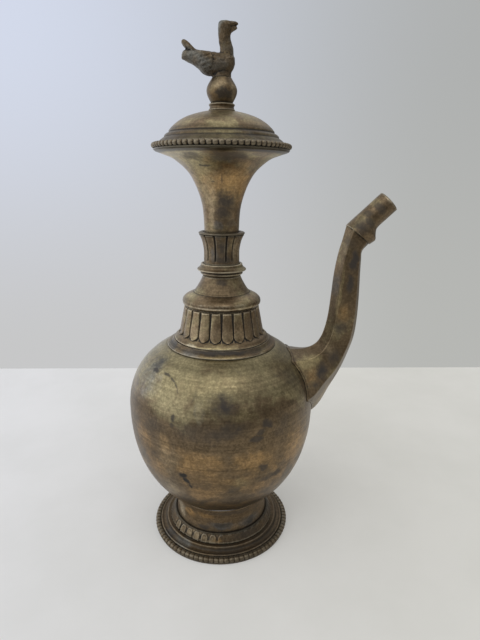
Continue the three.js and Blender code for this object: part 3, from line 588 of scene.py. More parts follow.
    # surface: dents, grain, turning marks and the pits of a rough casting
    tall = brassHeights
    swell = cloud(tree, place, *brassClouds["swell"])
    height = calc(tree, "MULTIPLY", swell, tall["dent"] * dents)
    height = calc(tree, "ADD", height, calc(tree, "MULTIPLY", fine, tall["grain"]))
    if turning:
        height = calc(tree, "MULTIPLY_ADD", streak, tall["line"] * turning, height)
    if pits:
        pock = addNode(tree, "ShaderNodeTexVoronoi", {"Vector": place, "Scale": pockScale})
        pit = ramp(tree, pock.outputs["Distance"], *brassRamps["pock"])
        lump = cloud(tree, place, *brassClouds["casting"])
        height = calc(tree, "MULTIPLY_ADD", pit, tall["pit"] * pits, height)
        height = calc(tree, "MULTIPLY_ADD", lump, tall["lump"] * pits, height)
    bump = addNode(tree, "ShaderNodeBump", {"Strength": 1.0, "Distance": mm, "Height": height})
    shader = addNode(tree, "ShaderNodeBsdfPrincipled", {
        "Base Color": colour, "Metallic": metal, "Roughness": shine, "Normal": bump.outputs[0]})
    addNode(tree, "ShaderNodeOutputMaterial", {"Surface": shader.outputs[0]})
    return material


# marks: kind, strength, then place from the axis and the table (mm), reach across and up (mm) and
# lean in degrees
bowlMarks = [
    ("golden", 0.8, -25.7, -39.6, 70, 4, 7, 0), ("golden", 0.95, -15.1, -44, 62.8, 9, 9, 20),
    ("golden", 1.0, 14.2, -44.5, 64.5, 10, 7, 20), ("golden", 1.0, 36, -29.5, 65, 8, 13, 0),
    ("golden", 0.9, 17.7, -39.1, 48, 10, 6, -20), ("golden", 0.8, -37, -30, 70, 6, 9, 0),
    ("golden", 0.8, -5, -46, 66, 10, 5, 10), ("golden", 0.9, -9, -40, 45, 12, 6, 0),
    ("tan", 0.8, -23.5, -34, 45, 8, 8, 20), ("golden", 0.6, -29, -35, 56, 8, 8, 30),
    ("brown", 0.6, 1, -46, 58, 9, 9, 0), ("olive", 0.5, 8.5, -44.5, 52, 6, 5, 0),
    # the small grey and yellow spots at the front, 88 to 90 mm up, the yellow streak at 87 mm and the wide
    # yellow patch at 98 mm on the left are painted highlights, where the window shines in the bowl
    ("grey", 0.75, -33, -22, 96, 8, 12, 0), ("grey", 0.35, -9.4, -44, 88, 3, 7, 0),
    ("yellow", 0.5, -9.4, -44, 89, 2, 6, 0), ("yellow", 0.5, 9.4, -43.9, 89.6, 3, 2.4, 0),
    ("yellow", 0.4, -11, -39, 98, 13, 6, 0),
    # the brown patches and the dark one high on the right, 97 to 99 mm up, are painted shade that dims the
    # lamps' highlight there
    ("brown", 0.5, 13, -36, 98, 13, 6, 0), ("brown", 0.7, 30, -26, 99, 11, 10, 20),
    ("dark", 0.4, 33, -22, 97, 8, 9, 20), ("brown", 0.25, 5, -44, 86, 18, 6, 0),
    ("tan", 0.5, -25, -38.5, 63, 8, 13, 0), ("yellow", 0.5, 10, -43.6, 87, 8, 3, 0),
    ("slate", 0.85, -29.6, -18.6, 102.2, 6, 5, 15), ("dark", 0.5, -30.5, -20, 101, 4, 3.6, 0),
    ("dark", 0.9, -30.8, -21.7, 99.6, 3.8, 1.3, 0), ("dark", 0.75, -25, -27.7, 100, 3.4, 0.8, 8),
    ("dark", 0.7, -22, -31.8, 98.8, 2.6, 0.7, 31), ("dark", 0.6, -20.3, -34.4, 97.2, 2.2, 0.6, 54),
    ("dark", 0.5, -19.6, -36, 95.4, 1.8, 0.5, 85),
    ("dark", 1.0, 1.1, -43.7, 91.4, 7, 5.5, 0), ("dark", 0.6, 0.3, -42.6, 94.6, 3.6, 3.6, 0),
    ("dark", 0.65, 1, -46.5, 80.5, 16, 6, -8), ("dark", 0.5, -14, -44, 80, 10, 5, 0),
    ("dark", 0.85, -21.5, -41.1, 84.8, 1.2, 2.8, 0), ("dark", 0.6, -22, -41.5, 81, 1.6, 1.6, 0),
    ("dark", 0.8, 20.7, -42.1, 82.5, 3.6, 2.6, 20), ("dark", 0.7, 17.5, -44, 79, 3.4, 2, -30),
    ("dark", 0.75, 15.7, -44.8, 75.6, 4, 2.2, 0), ("dark", 0.65, 7.2, -46.5, 81.6, 2.2, 1.6, 0),
    ("dark", 0.4, 28, -37, 80, 8, 6, 0),
    ("dark", 0.5, -31, -35, 79, 9, 5, 10), ("black", 1.0, -18.1, -41.8, 56.1, 3, 2.1, 10),
    ("black", 1.0, -16.2, -41.9, 53.4, 3.4, 1.6, 50), ("black", 0.9, -14.4, -41.5, 50, 2.4, 1, 65),
    ("dark", 0.75, 19.5, -42, 60, 4, 2.6, 30), ("dark", 0.8, 25.9, -36.7, 53.4, 4, 3, 0),
    ("dark", 0.6, 20, -39.5, 52.5, 4.4, 1.8, 0), ("dark", 0.4, 31, -33, 57, 4, 4, 0),
    ("dark", 0.45, 6, -44, 49, 5, 3, -20), ("dark", 0.45, -31, -35, 63, 4, 6, 20),
]
footMarks = [
    # the pale patch on the left of the neck, 16 mm up, is a painted reflection of the light from the left
    ("golden", 0.9, -16.6, -17.8, 17.9, 6, 3.4, 0), ("bright", 0.8, -21.5, -12, 16, 5, 6, 0),
    ("golden", 0.7, -8.5, -22.9, 19.4, 6, 2.6, 0), ("slate", 0.9, 0.3, -24.4, 13.4, 9, 3, 0),
    ("black", 0.6, 1, -24.4, 13.6, 6, 1.6, 0), ("slate", 0.9, 15, -19, 13, 9, 4, 0),
    ("black", 0.6, 15, -19, 12.6, 5, 2, 0), ("dark", 0.8, -9, -23, 11.6, 5, 2, 0),
    ("dark", 0.45, 19, -16, 19, 7, 5, 0), ("dark", 0.5, 6, -24, 21.5, 16, 2, 0),
    ("dark", 0.4, 24, -22, 4.5, 16, 3, 0), ("slate", 0.8, -28, -17, 3.6, 6, 3, 0),
    ("dark", 0.5, 5, -32, 4.5, 12, 2, 0), ("grey", 0.9, -20, -24, 3.6, 7, 3, 0),
]
bandMarks = [
    ("tan", 0.7, -22.3, -16.6, 7.6, 5, 2.2, 0), ("tan", 0.8, -13.8, -23.8, 7.4, 7, 2.2, 0),
    ("tan", 0.8, -5.5, -27, 7.2, 6, 2.2, 0), ("golden", 0.9, -2, -27.8, 7, 3, 2.4, 0),
    ("dark", 0.6, 14, -24, 8, 12, 6, 0), ("dark", 0.45, 26, -6, 8, 12, 8, 0),
    ("dark", 0.5, -27, 0, 8, 8, 6, 0), ("dark", 0.6, 0, 27, 8, 22, 6, 0),
]
shoulderMarks = [
    ("dark", 0.9, 0, -24.4, 108.9, 20, 1.2, 0), ("slate", 0.5, -15, -22, 108.4, 7, 1.6, 0),
    # the thin yellow band at the front, 107 mm up, is a painted highlight
    ("dark", 0.5, 16, -20.4, 108.6, 8, 2, 0), ("yellow", 0.7, -1, -26.5, 107.3, 12, 1.2, 0),
    ("grey", 0.6, -15, -21.6, 107.3, 7, 1.4, 0), ("slate", 0.7, -25, -9, 107.5, 8, 3, 0),
]
petalMarks = [
    ("yellow", 0.9, -4, -23.2, 110.5, 14, 0.7, 0), ("dark", 0.7, -3, -23.7, 109.9, 18, 0.7, 0),
    ("bright", 0.7, -14.5, -18.4, 110.5, 4, 0.8, 0),
    ("tan", 0.6, 3, -21, 116, 12, 4, 0), ("tan", 0.5, -13, -17, 116, 6, 5, 0),
    ("dark", 0.4, 16, -12, 118, 7, 7, 0),
]
sleeveMarks = [
    ("tan", 0.3, -6.5, -6.4, 155, 2.6, 7, 0), ("tan", 0.6, 7, -5.6, 153, 2.6, 7, 0),
    ("dark", 0.8, 0.4, -9, 156, 3.8, 5, 0), ("dark", 0.7, 1, -8.6, 150.5, 5, 3, 0),
    ("slate", 0.6, -3.5, -8, 152, 2.6, 4, 0),
]
funnelMarks = [
    ("tan", 0.9, -5.5, -9, 181, 4, 10, 0), ("yellow", 0.7, -9.6, -12, 189, 6, 6, 0),
    ("golden", 1.0, 5, -12.4, 186, 11, 8, 0), ("golden", 1.0, 9.7, -6, 182, 5, 10, 0),
    ("golden", 0.8, -1, -12, 185, 10, 9, 0), ("tan", 0.5, -5, -7.5, 171, 2, 8, 0),
    ("dark", 0.9, 2.6, -9.6, 177, 6.4, 5, 0), ("dark", 0.8, 0.3, -9.3, 172, 5, 5, 0),
    ("slate", 0.6, -2, -8.2, 166, 4, 3, 0), ("dark", 0.5, 4, -8, 167, 3, 3, 0),
    # the two dark bands just under the rim, 195 to 196 mm up, are painted shadow of the lid's ribbed ring
    ("dark", 0.75, 3, -23.5, 195.5, 12, 3, 0), ("dark", 0.6, -13.4, -19.6, 195.9, 7, 2.4, 0),
    ("dark", 0.75, -7, -16.3, 192.1, 3.6, 0.6, 0), ("dark", 0.7, -9, -15.8, 192.4, 1.2, 1, 0),
    ("dark", 0.6, -4, -12.4, 185.6, 1.2, 0.6, 0), ("dark", 0.5, 0, -13.4, 187, 0.4, 3.6, 0),
    ("dark", 0.6, -12.5, -19, 195.2, 4, 0.7, 20),
]
spoutMarks = [
    ("yellow", 1.0, 42.5, -11.5, 97.5, 7, 5, 0), ("yellow", 0.9, 47, -9, 100, 5, 3.6, 0),
    ("golden", 0.7, 44.5, -13, 91, 4, 7, 0), ("dark", 1.0, 50.9, -10.6, 94, 4.4, 5.6, 10),
    ("dark", 0.8, 46.5, -14, 88, 3.6, 3.6, 0), ("dark", 0.75, 57, -7.2, 100.6, 4, 5, 20),
    ("tan", 0.5, 54.9, -6.7, 104.5, 4, 4, -40), ("dark", 0.7, 59.5, -5.8, 115, 4, 5, 0),
    ("golden", 0.8, 61, -5.8, 123.5, 4, 6, 0), ("dark", 0.9, 63, -5.8, 138, 2.6, 7, 0),
    ("dark", 0.95, 63.8, -5.8, 149.5, 3, 7, 0), ("dark", 0.5, 61, -5.4, 158, 4, 4, 0),
    # the thin yellow streak along the side, 125 to 143 mm up, is a painted highlight on the ridge
    ("yellow", 0.5, 58.4, -5.2, 134, 1.2, 18, 6), ("slate", 0.6, 56, -3.4, 137, 2.4, 8, 0),
    ("tan", 0.8, 53, -3, 77, 6, 10, 30), ("dark", 0.8, 65.6, -6, 166, 5, 4, 0),
    ("dark", 0.7, 70, -5.9, 168, 4, 2.4, 45), ("yellow", 0.6, 72.3, -1.8, 177, 5, 3, 45),
    ("dark", 0.6, 74.6, -5, 174.4, 5, 3, 45), ("dark", 0.6, 68.4, -4, 172, 3, 3, 0),
]
# the bright line low on the ring's front, 128 mm up, is a painted highlight
neckMarks = [("dark", 0.6, 0.2, -11, 139.5, 4, 1.8, 0), ("bright", 0.4, -4, -18.6, 128.3, 14, 0.6, 0)]
finialMarks = [
    # the dark patch low on the ball's front is painted shade
    ("dark", 0.8, 0.5, -6, 222.5, 5, 3.4, 0), ("tan", 0.7, -1, -5.5, 226.5, 5, 3, 0),
    ("tan", 0.7, 5, -4.6, 224, 2.4, 4, 0),
]

# finishes: zones are (height above the table in mm, how bright the piece is there)
finishes = dict(
    # the foot is almost twice as bright above 10 mm, on its neck: painted light where the bowl's shade
    # falls
    foot=agedBrass("foot brass", olive=0.25, stains=0.75, wear=0.16, roughness=0.46, tone=0.85,
                   dents=0.4, grey=0.15, turning=0.5, marks=footMarks,
                   zones=((5, 1.0), (10, 1.0), (13, 1.9))),
    footBeads=agedBrass("foot bead brass", olive=0.1, stains=0.9, wear=0.5, grime=2.2,
                        roughness=0.48, tone=0.6),
    # the top of the band is painted dark: painted shade under the bowl
    footPetals=agedBrass("foot petal brass", olive=0.3, stains=0.6, wear=0.4, grime=1.5,
                         roughness=0.46, tone=0.8, marks=bandMarks,
                         zones=((9.0, 1.0), (9.5, 0.3))),
    # the bowl is darker towards its shoulder: painted shade that dims the lamps' highlight there
    bowl=agedBrass("bowl brass", olive=0.5, oliveBand=(64, 104), golden=0.62,
                   goldenBand=(26, 34, 58, 76), stains=0.5, roughness=0.36, turning=1.0, dents=0.5,
                   zones=((26, 1.0), (48, 0.92), (76, 1.04), (88, 0.97), (105, 0.78)),
                   marks=bowlMarks),
    shoulder=agedBrass("shoulder brass", olive=0.5, stains=0.6, roughness=0.42, turning=0.6,
                       tone=0.75, wear=0.75, marks=shoulderMarks,
                       zones=((107.0, 0.85), (107.2, 1.3), (107.7, 1.5), (108.0, 1.05))),
    petals=agedBrass("petal brass", olive=0.6, stains=0.45, wear=0.4, grime=1.3, roughness=0.42,
                     golden=0.15, tone=1.25, shift=0.04, grey=0.3, marks=petalMarks,
                     zones=((109.7, 0.75), (110.1, 0.8), (110.4, 0.95), (110.8, 0.8),
                            (111.1, 0.6), (111.5, 0.75), (112.2, 1.0))),
    # the rounded ring is painted paler on its lower flank, against its own shade, and on its upper slope:
    # painted light
    neck=agedBrass("neck brass", olive=0.6, stains=0.5, roughness=0.4, turning=0.6, shift=0.09,
                   wear=0.65, tone=0.88, marks=neckMarks,
                   zones=((127.6, 1.0), (128.0, 1.25), (128.3, 1.7), (128.7, 1.6), (129.0, 1.0),
                          (130.6, 1.1), (131.4, 1.5), (132.4, 1.8), (133.4, 1.0))),
    sleeve=agedBrass("sleeve brass", olive=0.3, stains=0.6, wear=0.4, grime=1.2, roughness=0.48,
                     shift=0.13, tone=1.0, grey=0.5, marks=sleeveMarks,
                     zones=((160.2, 1.0), (160.8, 0.5))),
    # the rim's top is painted dark, a painted shadow under the lid's ribbed ring, and a band just under it
    # is paler
    funnel=agedBrass("funnel brass", olive=0.6, golden=0.4, goldenBand=(176, 182, 194, 200),
                     stains=0.45, roughness=0.36, turning=0.5, shift=0.21, tone=1.2,
                     marks=funnelMarks, zones=((195.2, 1.0), (196.0, 1.35), (197.2, 1.35), (198, 0.3))),
    # the ledge under the ribbed ring is painted dark, a painted shadow, the steps are painted darker,
    # painted shade that dims the lamps' highlight there, and the dome is paler
    lid=agedBrass("lid brass", olive=0.65, stains=0.3, roughness=0.4, turning=0.7, shift=0.31,
                  wear=0.55, tone=1.12, grey=0.4,
                  zones=((199.5, 0.25), (199.9, 1.0), (203, 0.5), (207.4, 0.6), (209.2, 1.3))),
    # the lower half of the ribbed ring is painted dark: painted shadow
    lidBeads=agedBrass("lid bead brass", olive=0.25, stains=0.5, wear=0.4, grime=2.4, roughness=0.48,
                       shift=0.33, tone=0.66, zones=((197.6, 0.45), (198.6, 1.0))),
    finial=agedBrass("finial brass", olive=0.3, stains=0.6, wear=0.4, roughness=0.48, golden=0.2,
                     shift=0.41, tone=0.8, pits=0.3, marks=finialMarks),
    bird=agedBrass("bird brass", olive=0.2, stains=0.8, wear=0.2, roughness=0.55, shift=0.47,
                   tone=0.72, pits=0.8, grey=0.9),
    spout=agedBrass("spout brass", olive=0.5, stains=0.65, wear=0.5, roughness=0.4,
                    shift=0.55, marks=spoutMarks),
    inside=agedBrass("inside brass", olive=0.5, stains=0.6, roughness=0.5, shift=0.61, tone=0.8),
)
print("finishes made")

# foot: bead ledge, ridge, low flange, seat of the petal band, waisted neck
foot = dict(sides=224, grain=0.42)
footOutline = rounded([
    (33.2, 0, 0.3), (36.4, 0, 0.3), (36.4, 0.8, 0.15), (34.2, 0.8), (34.2, 3.2, 0.3),
    (33.75, 3.75, 0.4), (33.0, 3.25, 0.4), (31.5, 3.45, 0.6), (30.75, 4.0, 0.4), (30.6, 5.25, 0.35),
    (30.05, 5.5, 0.25), (29.3, 5.2, 0.2), (24.9, 5.2), (24.9, 9.8, 0.2), (24.5, 11.2, 1.0),
    (24.25, 14.2, 2.2), (24.7, 18.4, 2.4), (25.6, 21.9, 1.6), (26.4, 24.05, 0.3), (24.7, 22.85),
    (22.5, 17.0, 1.5), (22.5, 10.0, 1.5), (23.4, 4.7, 1.0), (28.8, 2.0, 1.2), (33.2, 1.4, 0.5),
])
footPiece = turned("turnedFoot", evenly(footOutline, foot["grain"]), foot["sides"])
finishPiece(footPiece, finishes["foot"], "vessel", ["foot"])

# ring of beads on the foot
footBeads = dict(count=88, size=2.6, groove=0.72, flank=0.8, arc=230, steps=8, arcPoints=14)


def beadSection(ring, outer):
    # round outwards, flat inwards, and pinched between two beads
    radius = ring["size"] / 2
    inner = outer - ring["size"]

    def sectionAt(phase):
        crown = math.sqrt(max(1 - (2 * phase - 1) ** 2, 0))
        bulge = radius * (ring["groove"] + (1 - ring["groove"]) * crown)
        section = [(inner, radius + bulge * ring["flank"]), (inner, radius - bulge * ring["flank"])]
        for i in range(ring["arcPoints"]):
            angle = math.radians(-ring["arc"] / 2 + ring["arc"] * i / (ring["arcPoints"] - 1))
            section.append((outer - radius + bulge * math.cos(angle),
                            radius + bulge * math.sin(angle)))
        return section
    return sectionAt


unit = sector("unit", beadSection(footBeads, radiusOf("foot_bead_ring")), footBeads["count"],
              footBeads["steps"], bottomOf("foot_bead_ring"))
beadPiece = repeatRound("footBeadRing", unit, footBeads["count"], finishes["footBeads"])
finishPiece(beadPiece, finishes["footBeads"], "vessel", ["foot_bead_ring"], reach=0.9)

# band of arched petals round the foot's neck
footPetals = dict(count=38, steps=22, rows=20, seat=24.93, bottom=28.75, height=4.4, slope=2.2,
                  curve=1.3, relief=0.75, archWidth=0.8, springing=0.5, crown=0.96,
                  rim=(-0.02, 0.2), hollow=(0.3, 0.6), hollowDepth=0.3)
# turns from the front, in degrees, between which the arches start and stop to be sharp
rubbed = dict(start=(-75, -50), stop=(-14, 22), least=0.3, usual=0.75, uneven=0.5, grain=160,
              left=0.25)
footBandBase = bottomOf("foot_petal_band")


def bandGround(up):
    # radius of the band between its arches, at a share of its height
    return footPetals["bottom"] - footPetals["slope"] * up ** footPetals["curve"] - footPetals["relief"]


def archSection(phase):
    band = footPetals
    across = abs(2 * phase - 1)
    section = [(band["seat"], band["height"]), (band["seat"], 0)]
    for row in range(band["rows"] + 1):
        up = row / band["rows"]
        over = max(up - band["springing"], 0) / (band["crown"] - band["springing"])
        inside = 1 - math.hypot(across / band["archWidth"], over)
        lift = smoothStep(*band["rim"], inside) - band["hollowDepth"] * smoothStep(*band["hollow"], inside)
        section.append((bandGround(up) + band["relief"] * lift, up * band["height"]))
    return section


unit = sector("unit", archSection, footPetals["count"], footPetals["steps"], footBandBase)
petalPiece = repeatRound("footPetalBand", unit, footPetals["count"], finishes["footPetals"],
                         fullTurn / 2 / footPetals["count"])


def rubbedFlat(point, normal):
    # away from the front left the arches are nearly worn away
    out = Vector((point.x - axisX, point.y, 0))
    turnAway = math.degrees(math.atan2(out.x, -out.y))
    kept = smoothStep(*rubbed["start"], turnAway) * (1 - smoothStep(*rubbed["stop"], turnAway))
    kept = rubbed["least"] + (1 - rubbed["least"]) * kept
    kept *= rubbed["usual"] + rubbed["uneven"] * noise.noise(point * rubbed["grain"])
    up = max(point.z / mm - footBandBase, 0) / footPetals["height"]
    proud = out.length / mm - bandGround(up)
    if proud < -footPetals["relief"] or up > 1.01:
        return Vector((0, 0, 0))
    return out.normalized() * (-(proud - rubbed["left"]) * (1 - min(kept, 1)) * mm)


moveEach(petalPiece, rubbedFlat)
finishPiece(petalPiece, finishes["footPetals"], "vessel", ["foot_petal_band"], reach=0.9)

# bowl: a rounded form whose two halves meet at a seam
bowl = dict(radius=radiusOf("lower_bowl"), lower=51.2, lowerRadius=26.4, upper=31.0, upperRadius=28.2,
            roundness=2.2, wall=1.5, seamDrop=3.5, lap=3.0, lapGap=0.3, mouth=23.8, sides=256,
            grain=0.75, liningGrain=1.5, formSteps=50, dent=0.16, broadDents=55, smallDents=120)
seamLevel = topOf("lower_bowl")
widestLevel = seamLevel + bowl["seamDrop"]


def halfHeight(height, radius):
    power = bowl["roundness"]
    return height / (1 - (radius / bowl["radius"]) ** power) ** (1 / power)


bowlDrop = halfHeight(bowl["lower"], bowl["lowerRadius"])
bowlCrown = halfHeight(bowl["upper"], bowl["upperRadius"])


def bowlRadiusAt(rise, inset=0.0):
    power = bowl["roundness"]
    reach = (bowlDrop if rise < 0 else bowlCrown) - inset
    share = min(abs(rise) / reach, 1)
    return (bowl["radius"] - inset) * (1 - share ** power) ** (1 / power)


def bowlArc(start, end, inset=0.0, steps=60):
    reach = (bowlDrop if min(start, end) < -bowl["seamDrop"] else bowlCrown) - inset
    first = math.asin(max(min(start / reach, 1), -1))
    last = math.asin(max(min(end / reach, 1), -1))
    rises = [reach * math.sin(first + (last - first) * i / steps) for i in range(steps + 1)]
    return [(bowlRadiusAt(rise, inset), widestLevel + rise) for rise in rises]


def dented(point, normal):
    # soft hammer dents, inwards only, so a piece keeps its size
    deep = (noise.noise(point * bowl["broadDents"])
            + 0.5 * noise.noise(point * bowl["smallDents"] + Vector((3, 1, 7))))
    return normal * (-abs(deep) * bowl["dent"] * mm)


wall = bowl["wall"]
lowerOutline = (
    [(0, widestLevel - bowlDrop)]
    + evenly(bowlArc(-bowlDrop, -bowl["seamDrop"])[1:], bowl["grain"], False)
    + evenly(bowlArc(-bowl["seamDrop"], wall - bowlDrop, wall)[:-1], bowl["liningGrain"], False)
    + [(0, widestLevel - bowlDrop + wall)]
)
lowerPiece = turned("lowerBowl", lowerOutline, bowl["sides"], closed=False)
pointOutwards(lowerPiece)
moveEach(lowerPiece, dented)
finishPiece(lowerPiece, finishes["bowl"], "vessel", ["lower_bowl"], reach=0)

lapRadius = bowlRadiusAt(-bowl["seamDrop"] - bowl["lap"], wall) - bowl["lapGap"]
shoulderLevel = widestLevel + bowl["upper"]
upperOutline = (
    [(lapRadius, seamLevel)]
    + evenly(bowlArc(-bowl["seamDrop"], bowl["upper"]), bowl["grain"], False)
    + [(bowl["mouth"], shoulderLevel), (bowl["mouth"], shoulderLevel - wall)]
    + evenly(bowlArc(bowl["upper"] - wall, -bowl["seamDrop"] + bowl["lap"], wall),
             bowl["liningGrain"], False)
    + [(lapRadius - wall / 2, seamLevel), (lapRadius - wall / 2, seamLevel - bowl["lap"]),
       (lapRadius, seamLevel - bowl["lap"])]
)
upperPiece = turned("upperBowl", upperOutline, bowl["sides"])
pointOutwards(upperPiece)
moveEach(upperPiece, dented)

# shoulder moulding: flared band, groove, upper edge, and a spigot in the bowl's mouth
shoulder = dict(sides=224, grain=0.35)
shoulderOutline = rounded([
    (23.5, 0), (27.3, 0), (27.6, 0.5, 0.3), (27.1, 1.0, 0.4), (25.7, 1.75, 0.5), (25.35, 1.8),
    (25.1, 2.1, 0.2), (24.4, 2.75, 0.5), (24.2, 3.2, 0.1), (19.6, 3.2), (19.6, 0), (22.3, -2.4),
    (23.5, -2.4),
])
shoulderPiece = turned("shoulderRing", evenly(shoulderOutline, shoulder["grain"]), shoulder["sides"],
                       shoulderLevel)
finishPiece(shoulderPiece, finishes["shoulder"], "vessel", ["shoulder_ring"])

# petal collar: base edge, sloping ledge, long raised tongues with darts between their tips
collar = dict(count=22, steps=28, height=17.2, foot=23.7, relief=0.95, bore=19.3, top=18.4,
              topBore=15.6, spigot=2.4, spigotWall=1.2, pathSteps=10, grain=0.32)
# the tongues in shares: where and how fast a tip widens, its full width, how it narrows upwards,
# its rim, its end under the ring, how round it is, and how deep the ground lies beside it
tongue = dict(tipStart=0.16, tipReach=0.15, width=0.97, narrowing=0.12, rim=0.13, end=(0.93, 0.985),
              crown=0.3, ground=(0.10, 0.2), sunk=0.8)
# the darts: half width and level of the middle, half height, height over the ground, and rim
dart = dict(width=0.16, level=0.185, reach=0.06, relief=0.3, rim=0.14)
collarBase = topOf("shoulder_ring")
collarPath = smoothPath([(23.55, 0.9), (22.3, 2.2), (21.1, 3.4), (20.55, 5.4), (20.0, 8.2),
                         (19.35, 11.5), (18.75, 14.6), (18.45, 17.0)], collar["pathSteps"])
collarPath = evenly(collarPath, collar["grain"], False)


def tongueSection(phase):
    across = abs(2 * phase - 1)
    section = [(collar["bore"], 0), (collar["foot"] - 0.25, 0), (collar["foot"] - 0.02, 0.25),
               (collar["foot"], 0.5), (collar["foot"] - 0.03, 0.72)]
    for radius, height in collarPath:
        up = height / collar["height"]
        tip = min(max((up - tongue["tipStart"]) / tongue["tipReach"], 0), 1)
        width = tongue["width"] * math.sqrt(1 - (1 - tip) ** 2)
        width -= tongue["narrowing"] * smoothStep(0.3, 1.0, up)
        raised = smoothStep(0.0, tongue["rim"], width - across) if tip > 0 else 0
        raised *= 1 - smoothStep(*tongue["end"], up)
        crown = 1 - tongue["crown"] * (across / max(width, 0.05)) ** 2 if raised else 0
        dartWidth = dart["width"] * (1 - abs(up - dart["level"]) / dart["reach"])
        dartLift = dart["relief"] * smoothStep(0.0, dart["rim"], dartWidth - (1 - across))
        lift = collar["relief"] * max(raised * max(crown, 0), dartLift)
        sunk = smoothStep(*tongue["ground"], up) * collar["relief"] * tongue["sunk"]
        section.append((radius - sunk + lift, height))
    section += [(collar["top"], collar["height"]), (collar["topBore"], collar["height"]),
                (collar["bore"] - collar["spigotWall"], 0),
                (collar["bore"] - collar["spigotWall"], -collar["spigot"]),
                (collar["bore"], -collar["spigot"])]
    return section


unit = sector("unit", tongueSection, collar["count"], collar["steps"], collarBase)
collarPiece = repeatRound("petalCollar", unit, collar["count"], finishes["petals"])
finishPiece(collarPiece, finishes["petals"], "vessel", ["petal_collar"], reach=1.0)

# neck cone: rounded ring, low step, concave rise
cone = dict(sides=192, grain=0.33)
coneBase = topOf("petal_collar")
coneOutline = rounded([
    (15.3, 0), (17.9, 0), (18.6, 0.1, 0.2), (19.35, 0.9, 0.5), (19.5, 1.9, 0.6), (19.25, 3.2, 0.8),
    (18.0, 4.4, 0.8), (15.6, 5.6, 1.0), (13.75, 6.45, 0.2), (13.7, 6.85, 0.1), (13.3, 7.0, 0.1),
    (12.0, 8.9, 1.2), (10.6, 11.3, 1.2), (9.6, 13.4, 0.8), (9.3, 14.4), (7.3, 14.4), (7.3, 11.7),
    (11.4, 6.3), (14.1, 0), (14.1, -2.4), (15.3, -2.4),
])
conePiece = turned("neckCone", evenly(coneOutline, cone["grain"]), cone["sides"], coneBase)
finishPiece(conePiece, finishes["neck"], "vessel", ["neck_cone"])

# knop: lip, thin disc and upper step
knop = dict(sides=160, grain=0.26)
knopBase = topOf("neck_cone")
knopOutline = rounded([
    (7.0, 0), (9.1, 0), (9.25, 0.5, 0.2), (10.2, 0.9, 0.2), (10.45, 1.3, 0.25), (10.35, 1.75, 0.2),
    (10.1, 2.0), (10.5, 2.3, 0.1), (11.9, 2.75, 0.2), (12.1, 3.1, 0.2), (11.9, 3.4, 0.25),
    (10.9, 4.1, 0.3), (10.25, 4.9, 0.2), (10.15, 5.8, 0.25), (9.9, 6.0, 0.1), (8.95, 6.0), (8.95, 4.8),
    (5.8, 4.8), (5.8, -2.4), (7.0, -2.4),
])
knopPiece = turned("knopRing", evenly(knopOutline, knop["grain"]), knop["sides"], knopBase)
finishPiece(knopPiece, finishes["neck"], "vessel", ["knop_ring"], reach=0.9)

# fluted sleeve: twelve flaring panels under a rounded rim
sleeve = dict(steps=22, height=15.2, bore=5.8, socket=1.2, seat=8.6, pathSteps=10, grain=0.3,
              frontGrooves=(-50, -20.5, 14.5, 35.5, 61), backPanels=8)
# the panels in shares: groove between two panels and where it opens, then each panel's own hollow
panel = dict(groove=0.8, edge=(0.74, 0.95), opens=(0.06, 0.2), hollow=0.3, hollowFrom=(0.1, 0.4),
             hollowTo=(0.7, 0.84))
sleeveBase = topOf("knop_ring")
sleevePath = smoothPath([(8.65, 0.7), (8.66, 3.5), (8.75, 6.2), (9.1, 8.6), (9.6, 10.8), (10.2, 12.6),
                         (10.45, 13.2)], sleeve["pathSteps"])
sleevePath = evenly(sleevePath, sleeve["grain"], False)


def panelSection(phase):
    across = abs(2 * phase - 1)
    groove = panel["groove"] * smoothStep(*panel["edge"], across)
    section = [(sleeve["bore"], -sleeve["socket"]), (sleeve["seat"] - 0.1, -sleeve["socket"]),
               (sleeve["seat"], 0), (sleeve["seat"] + 0.05, 0.4)]
    for radius, height in sleevePath:
        up = height / sleeve["height"]
        hollow = panel["hollow"] * math.cos(across * math.pi / 2)
        hollow *= smoothStep(*panel["hollowFrom"], up) * (1 - smoothStep(*panel["hollowTo"], up))
        section.append((radius - groove * smoothStep(*panel["opens"], up) - hollow, height))
    section += [(10.75 - groove, 13.45), (10.85 - groove, 13.75), (10.6 - groove, 13.95),
                (10.3, 14.05), (10.9, 14.15), (11.15, 14.4), (11.15, 14.7), (10.9, 15.0),
                (10.4, 15.2), (sleeve["seat"], 15.2), (sleeve["seat"], 14.0), (sleeve["bore"], 14.0)]
    return section


def unevenRing(name, sectionAt, grooves, steps, base):
    # like a ring of sectors, but with a groove at each of the given turns from the front
    points, faces = [], []
    corners = len(sectionAt(0))
    for i, start in enumerate(grooves):
        end = grooves[(i + 1) % len(grooves)] + (360 if i == len(grooves) - 1 else 0)
        for step in range(steps):
            phase = step / steps
            angle = math.radians(start + (end - start) * phase - 90)
            for radius, height in sectionAt(phase):
                points.append((axisX + radius * mm * math.cos(angle), radius * mm * math.sin(angle),
                               (base + height) * mm))
    rows = len(grooves) * steps
    for row in range(rows):
        after = (row + 1) % rows
        for i in range(corners):
            j = (i + 1) % corners
            faces.append((row * corners + i, row * corners + j, after * corners + j, after * corners + i))
    return meshFrom(name, points, faces)


lastFront = sleeve["frontGrooves"][-1]
backStep = (360 + sleeve["frontGrooves"][0] - lastFront) / sleeve["backPanels"]
grooves = list(sleeve["frontGrooves"]) + [lastFront + backStep * k for k in range(1, sleeve["backPanels"])]
sleevePiece = unevenRing("flutedSleeve", panelSection, grooves, sleeve["steps"], sleeveBase)
finishPiece(sleevePiece, finishes["sleeve"], "vessel", ["fluted_sleeve"], reach=0.9)

